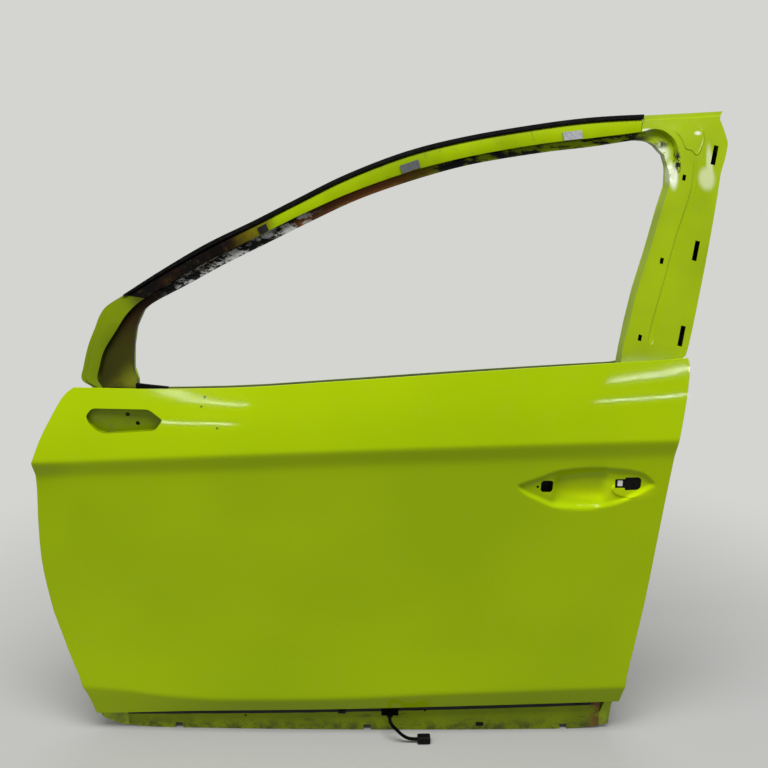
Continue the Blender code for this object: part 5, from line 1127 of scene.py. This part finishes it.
def gloss_paint():
    """The outer panel: clean paint with three chips, and painted light that brightens the handle recess."""
    look = Look("green_gloss")
    base = look.green(2.2, 1, 1, 2.0)
    base = look.cover(base, DUST, look.ramp(look.noise(30, 4.0, 0.6), 0.5, 0.8), 0.012)
    for middle, size in CHIPS:
        base = look.cover(base, CHIP, look.blob(middle, (size, CHIP_REACH, size)))
    # Painted light over the handle recess
    base = look.cover(base, GREEN_PAINTED_LIGHT, look.blob(PAINTED_LIGHT_PLACE, PAINTED_LIGHT_SIZE, 0.3))
    height = look.noise(420, 1.0)
    return look.finish(
        base, height, 0.015, PAINT_BUMP, Roughness=0.045, Specular_IOR_Level=0.11, Coat_Weight=0,
    )


def satin_paint(name="green_satin", tone=0.85):
    look = Look(name)
    grime = look.ramp(look.noise(60, 6.0, 0.65), 0.48, 0.75)
    base = look.cover(look.green(5, tone, tone), GRIME, grime, 0.4)
    return look.painted(base, Roughness=look.scaled(grime, 0.25, 0.16), Specular_IOR_Level=0.25)


def rear_paint():
    """The rear panel in painted shade, with black sealant and painted highlights in its upper window corner.
    """
    look = Look("green_rear")
    grime = look.noise(60, 6.0, 0.65)
    # The green darkened to a lower tone: painted shade
    base = look.cover(look.green(5, 0.68, 0.58), REAR_GRIME, look.ramp(grime, 0.58, 0.80), 0.12)
    mark_breakup = look.noise(90, 5.0, 0.7, shift=(3, 3, 1))
    # Painted highlights and black sealant, broken up by noise
    for (x, z), (length, height), share, tone in REAR_MARKS:
        spot = look.blob((x, FRAME_FACE_Y, z), (length, MARK_REACH, height))
        base = look.cover(base, tone, spot, look.ramp(mark_breakup, share, share + 0.08))
    return look.painted(base, Roughness=look.scaled(grime, 0.25, 0.10), Specular_IOR_Level=0.3)


def stained_face():
    """The header's face: burnt brown and black at the front, green behind."""
    look = Look("stained_face")
    soft = look.scaled(look.noise(14, 5.0, 0.6, shift=(2, 7, 1)), STAIN_WANDER, look.axes()["X"])
    base = look.cover(look.green(6, 0.72, 0.60), SCORCH, look.ramp(soft, *FACE_SCORCH_X), 0.85)
    base = look.cover(base, BROWN, look.ramp(soft, *FACE_BROWN_X))
    patches = look.ramp(look.noise(26, 5.0), 0.22, 0.42)
    base = look.cover(base, CHAR, look.ramp(soft, *FACE_CHAR_X), patches)
    grime = look.noise(70, 6.0, 0.7)
    base = look.cover(base, FACE_GRIME, look.ramp(grime, 0.55, 0.72), 0.35)
    rough = look.scaled(grime, 0.3, 0.15)
    return look.finish(base, grime, 0.06, STAIN_BUMP, Roughness=rough, Specular_IOR_Level=0.08)


def stained_run():
    """The glass run: black with flakes of old adhesive, then rust, then green with black sealant."""
    look = Look("stained_run")
    x = look.axes()["X"]
    streak = look.noise(30, 6.0, 0.66, (0.5, 1, 1))
    soft = look.scaled(look.noise(12, 4.0, 0.6, shift=(2, 7, 1)), STAIN_WANDER, x)
    base = look.green(6, 0.50, 0.38)
    base = look.cover(base, RUST, look.ramp(soft, *RUN_RUST_X), look.ramp(streak, 0.25, 0.45))
    patches = look.ramp(look.noise(24, 5.0, 0.6, shift=(3, 1, 2)), 0.30, 0.46)
    base = look.cover(base, RUN_CHAR, look.ramp(soft, *RUN_CHAR_X), patches)
    smears = look.ramp(look.noise(30, 6.0, 0.7, (0.6, 1, 2), (1, 4, 2)), 0.44, 0.53)
    base = look.cover(base, BLACK, look.between(x, *RUN_SEALANT_X), smears)
    flaky = look.noise(64, 9.0, 0.72, (0.45, 1, 1), (5, 5, 5))
    base = look.cover(base, FLAKE, look.between(x, *RUN_FLAKES_X), look.ramp(flaky, 0.48, 0.545))
    rough = look.scaled(streak, 0.4, 0.15)
    return look.finish(base, flaky, 0.35, FLAKE_BUMP, Roughness=rough, Specular_IOR_Level=0.10)


def front_post_paint():
    """The front post's outer face: green, burnt brown where the header begins."""
    look = Look("green_post")
    grime = look.noise(60, 6.0, 0.65)
    base = look.cover(look.green(5, 0.38, 0.32), GRIME, look.ramp(grime, 0.5, 0.75), 0.15)
    axes = look.axes()
    rise = look.math("ADD", axes["X"], axes["Z"])
    rise = look.scaled(look.noise(24, 4.0, 0.6, shift=(1, 2, 5)), POST_WANDER, rise)
    base = look.cover(base, POST_BROWN, look.ramp(rise, *POST_BURN_RISE), 0.92)
    rough = look.scaled(grime, 0.25, 0.12)
    return look.finish(base, grime, 0.05, POST_BUMP, Roughness=rough, Specular_IOR_Level=0.18)


def post_run():
    """The front post's recess: green near its face, dark brown and black towards the window and the top."""
    look = Look("stained_post")
    x, _, z = look.axes()
    wander = look.noise(18, 5.0, 0.6, shift=(4, 1, 3))
    across = look.scaled(wander, RECESS_WANDER, x)
    base = look.cover(look.green(6, 0.46, 0.34), RECESS_BROWN, look.ramp(across, *RECESS_EDGE_X), 0.93)
    low = look.ramp(look.math("SUBTRACT", z, x), *RECESS_FOOT)
    foot = look.math("MULTIPLY", low, look.ramp(wander, 0.3, 0.6))
    base = look.cover(base, RECESS_GREEN, foot, 0.8)
    up = look.scaled(wander, RECESS_RISE_WANDER, z)
    base = look.cover(base, RECESS_SCORCH, look.ramp(up, *RECESS_SCORCH_Z))
    base = look.cover(base, RECESS_CHAR, look.ramp(up, *RECESS_CHAR_Z))
    height = look.noise(60, 6.0, 0.7)
    return look.finish(base, height, 0.12, STAIN_BUMP, Roughness=0.3, Specular_IOR_Level=0.08)


def coated_steel():
    look = Look("coated_steel_fine")
    base = look.mix(look.ramp(look.noise(8, 3.0), 0.3, 0.7), *STEEL)
    base = look.cover(base, STEEL_DIRT, look.ramp(look.noise(90, 6.0), 0.55, 0.7), 0.4)
    return look.finish(base, look.noise(300, 2.0), 0.08, STEEL_BUMP, Roughness=0.5, Metallic=0.15)


def black_piece(name, tone, rough, scale, shine):
    look = Look(name)
    worn = (tone * 2.4, tone * 2.4, tone * 2.2)
    base = look.mix(look.ramp(look.noise(scale, 4.0), 0.4, 0.75), (tone, tone, tone), worn)
    height = look.noise(scale * 8, 3.0)
    return look.finish(base, height, 0.12, PLASTIC_BUMP, Roughness=rough, Specular_IOR_Level=shine)


def foam(name, light, dark):
    look = Look(name)
    base = look.mix(look.ramp(look.noise(200, 5.0, 0.7), 0.35, 0.65), light, dark)
    return look.finish(base, look.noise(700, 3.0), 0.4, FOAM_BUMP, Roughness=0.95)


def white_piece():
    look = Look("white_plastic_fine")
    base = look.mix(look.ramp(look.noise(120, 3.0), 0.4, 0.7), *WHITE)
    look.fill(look.shader, Base_Color=base, Roughness=0.45)
    return look.material


def box_inside():
    """Green outside, with painted shade: dark on the side that closes the frame's box and black behind its
    slots.
    """
    look = Look("green_box")
    base = look.green(5, 0.8, 0.7)
    across, inboard, _ = look.axes(look.node("ShaderNodeTexCoord").outputs["Normal"])
    side = look.math("MULTIPLY", look.ramp(inboard, 0.45, 0.25), look.ramp(across, 0.3, 0.1))
    # Painted shadow: black where the slots look into the box
    for x, z in SLOT_SHADOWS:
        base = look.cover(base, BLACK, look.blob((x, FRAME_FACE_Y, z), SLOT_SHADOW_SIZE, 0.1), side)
    # Painted shade on the faces that look outboard, into the box
    base = look.cover(base, SHADE, look.ramp(inboard, -0.15, -0.45))
    return look.painted(base, Roughness=0.3, Specular_IOR_Level=0.12)


def band_paint():
    """The strip under the outer panel: dull and dirty along its lower edge, with painted hem shadow at its
    top.
    """
    look = Look("green_strip")
    x, _, z = look.axes()
    base = look.mix(look.ramp(look.noise(9, 3.0), 0.35, 0.7), STRIP_GREEN, STRIP_GREEN_DEEP)
    grime = look.noise(45, 7.0, 0.7)
    low = look.math("MULTIPLY", look.ramp(z, *STRIP_DIRT_Z), look.ramp(grime, 0.42, 0.62))
    base = look.cover(base, STRIP_DIRT, low, 0.7)
    base = look.cover(base, STRIP_SMEAR, look.ramp(look.noise(16, 6.0, 0.7, (1, 1, 3)), 0.56, 0.68), 0.5)
    # Painted shadow: black along the top, under the outer panel's hem
    level = look.scaled(look.noise(30, 3.0), HEM_SHADOW_WANDER, look.scaled(x, -HEM_SHADOW_RISE, z))
    base = look.cover(base, BLACK, look.ramp(level, HEM_SHADOW_Z, HEM_SHADOW_Z + HEM_SHADOW_SOFT))
    base = look.cover(base, STRIP_RUST, look.ramp(x, *STRIP_RUST_X), look.ramp(grime, 0.35, 0.5))
    rough = look.scaled(grime, 0.3, 0.4)
    return look.finish(base, grime, 0.15, STRIP_BUMP, Roughness=rough, Specular_IOR_Level=0.25)


def inner_paint():
    look = Look("green_inner")
    grime = look.noise(40, 6.0, 0.65)
    base = look.cover(look.green(3, 0.92, 0.8), INNER_GRIME, look.ramp(grime, 0.52, 0.75), 0.25)
    low = look.ramp(look.axes()["Z"], *INNER_DIRT_Z)
    dirt = look.math("MULTIPLY", low, look.ramp(grime, 0.4, 0.6))
    base = look.cover(base, INNER_DIRT, dirt, 0.6)
    return look.painted(base, Roughness=look.scaled(grime, 0.15, 0.2), Specular_IOR_Level=0.32)


# Camera

CAMERA_PLACE = (0.575, -1.254, 0.525)
CAMERA_TILT = math.radians(75)
CAMERA_LENS = 35.16
CAMERA_SENSOR = 36
CAMERA_NEAR = 0.01

camera = bpy.data.cameras.new("camera")
camera.lens = CAMERA_LENS
camera.sensor_width = CAMERA_SENSOR
camera.clip_start = CAMERA_NEAR
view = bpy.data.objects.new("camera", camera)
view.location = CAMERA_PLACE
view.rotation_euler = (CAMERA_TILT, 0, 0)
bpy.context.scene.collection.objects.link(view)
bpy.context.scene.camera = view

# The short cable

CABLE_STEPS = 28


def tube(name, points, radius):
    curve = bpy.data.curves.new(name, "CURVE")
    curve.dimensions = "3D"
    curve.bevel_depth = 1
    curve.bevel_resolution = 5
    curve.use_fill_caps = True
    spline = curve.splines.new("POLY")
    spline.points.add(len(points) - 1)
    for place, point in zip(spline.points, points):
        place.co = (*point, 1)
        place.radius = radius
    made = bpy.data.objects.new(name, curve)
    bpy.context.scene.collection.objects.link(made)
    return made


route = route_points(CABLE_ROUTE, CABLE_STEPS)
cable = tube("pigtail_cable_fine", route, CABLE_DIAMETER / 2)
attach(cable, "root")
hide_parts("pigtail_cable")

# Pieces

satin = satin_paint()
steel = coated_steel()
plastic = black_piece("black_plastic_fine", 0.0035, 0.42, 60, 0.10)
rubber = black_piece("black_rubber_fine", 0.0022, 0.6, 90, 0.02)
dark_foam = foam("foam_dark", *FOAM_DARK)
cable.data.materials.append(rubber)

skin = fine_skin()
post = fine_frame("a_post_outer_fine", A_POST_SHARES)
head = fine_frame("header_outer_fine", HEADER_SHARES, (True, True))
for piece, node, slot, paints in (
    (skin, "outer_skin", "green_paint", [gloss_paint()]),
    (post, "a_post_outer", "green_paint", [front_post_paint(), post_run()]),
    (head, "header_outer", "green_paint", [stained_face(), stained_run()]),
    (fine_rear_panel(), "b_post_outer", "green_paint", [rear_paint()]),
    (fine_seal(), "header_seal", "black_rubber", [rubber]),
):
    for paint in paints:
        piece.data.materials.append(paint)
    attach(piece, "root")
    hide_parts(node)

NODE_LOOKS = {
    "inner_panel": inner_paint(), "lower_closing_panel": band_paint(), "a_post_inner": satin,
    # The mirror pad's green at a low tone: painted shade inside the mirror hole
    "header_inner": satin, "b_post_inner": box_inside(), "mirror_bracket": satin_paint("green_pad", 0.46),
    "handle_carrier": plastic, "carrier_tab": white_piece(), "header_clip": plastic,
    "lower_clip_front": plastic, "lower_clip_middle": plastic, "lower_clip_rear": plastic,
    "pigtail_plug": plastic, "pigtail_grommet": rubber, "sill_seal_end": rubber,
    "damping_pad": dark_foam, "rail_pad_front": dark_foam, "rail_pad_rear": foam("foam_light", *FOAM_LIGHT),
}
for name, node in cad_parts.items():
    node.data.materials.clear()
    node.data.materials.append(NODE_LOOKS.get(name, steel))

# Floor, light and background

FLOOR_SIZE = 6.0
FLOOR_MIDDLE = (0.575, -0.1)
FADE_REACH = 1.15
FADE_SOFT = 0.5
BACKGROUND = (0.66, 0.665, 0.64, 1)
WORLD_LIGHT = 0.31
LAMPS = (
    ("lamp_top", (0.55, -1.0, 3.0), (0.55, 0, 0.1), (2.8, 1.2), 124),
    ("lamp_left", (-2.4, -1.3, 0.6), (0.1, 0, 0.0), (0.30, 1.3), 11),
    ("strip_left", (-0.75, -2.95, 0.47), (0.2, 0, 0.23), (0.60, 0.014), 2.6),
    ("strip_right", (2.15, -3.05, 0.47), (1.02, 0, 0.24), (0.55, 0.014), 2.6),
    ("strip_left_high", (-1.15, -2.95, 0.82), (0.2, 0, 0.23), (1.5, 0.012), 4.5),
    ("strip_right_high", (2.25, -3.05, 0.72), (1.02, 0, 0.24), (0.6, 0.012), 2.4),
    ("lamp_back", (0.6, 2.2, 2.4), (0.6, 0, 0.3), (2.5, 1.2), 25),
)

bpy.ops.mesh.primitive_plane_add(size=FLOOR_SIZE, location=(*FLOOR_MIDDLE, FLOOR_Z))
floor = bpy.context.object
floor.name = "floor"
ground = Look("floor_pale")
ray = ground.node("ShaderNodeLightPath")
clear = ground.math("MAXIMUM", ray.outputs["Is Camera Ray"], ray.outputs["Is Glossy Ray"])
clear = ground.math("MAXIMUM", clear, ray.outputs["Is Transmission Ray"])
pale = ground.mix(clear, FLOOR_DARK, FLOOR_PALE)
ground.fill(ground.shader, Base_Color=pale, Roughness=0.9, Specular_IOR_Level=0.1)
fade = ground.math("SUBTRACT", 1.0, ground.blob((0, 0, 0), (FADE_REACH, FADE_REACH, 1), FADE_SOFT))
clear_sheet, both = ground.node("ShaderNodeBsdfTransparent"), ground.node("ShaderNodeMixShader")
result = [node for node in ground.tree.nodes if node.type == "OUTPUT_MATERIAL"][0]
ground.feed(both.inputs["Fac"], fade)
ground.feed(both.inputs[1], ground.shader.outputs[0])
ground.feed(both.inputs[2], clear_sheet.outputs[0])
ground.feed(result.inputs["Surface"], both.outputs[0])
floor.data.materials.append(ground.material)

world = bpy.data.worlds.new("studio")
bpy.context.scene.world = world
world.use_nodes = True
tree = world.node_tree
tree.nodes.clear()
out = tree.nodes.new("ShaderNodeOutputWorld")
seen, lit = tree.nodes.new("ShaderNodeBackground"), tree.nodes.new("ShaderNodeBackground")
seen.inputs["Color"].default_value = BACKGROUND
seen.inputs["Strength"].default_value = 1.0
lit.inputs["Color"].default_value = (1, 1, 1, 1)
lit.inputs["Strength"].default_value = WORLD_LIGHT
path, mixer = tree.nodes.new("ShaderNodeLightPath"), tree.nodes.new("ShaderNodeMixShader")
see = tree.nodes.new("ShaderNodeMath")
see.operation = "MAXIMUM"
for source, socket in (
    (path.outputs["Is Camera Ray"], see.inputs[0]),
    (path.outputs["Is Transmission Ray"], see.inputs[1]),
    (see.outputs[0], mixer.inputs["Fac"]),
    (lit.outputs[0], mixer.inputs[1]),
    (seen.outputs[0], mixer.inputs[2]),
    (mixer.outputs[0], out.inputs["Surface"]),
):
    tree.links.new(source, socket)

for name, place, aim, (width, height), power in LAMPS:
    light = bpy.data.lights.new(name, "AREA")
    light.shape = "RECTANGLE"
    light.size, light.size_y = width, height
    light.energy = power
    lamp = bpy.data.objects.new(name, light)
    lamp.location = place
    lamp.rotation_euler = (Vector(aim) - Vector(place)).to_track_quat("-Z", "Y").to_euler()
    bpy.context.scene.collection.objects.link(lamp)

bpy.context.scene.view_settings.view_transform = "Standard"

bpy.context.view_layer.update()
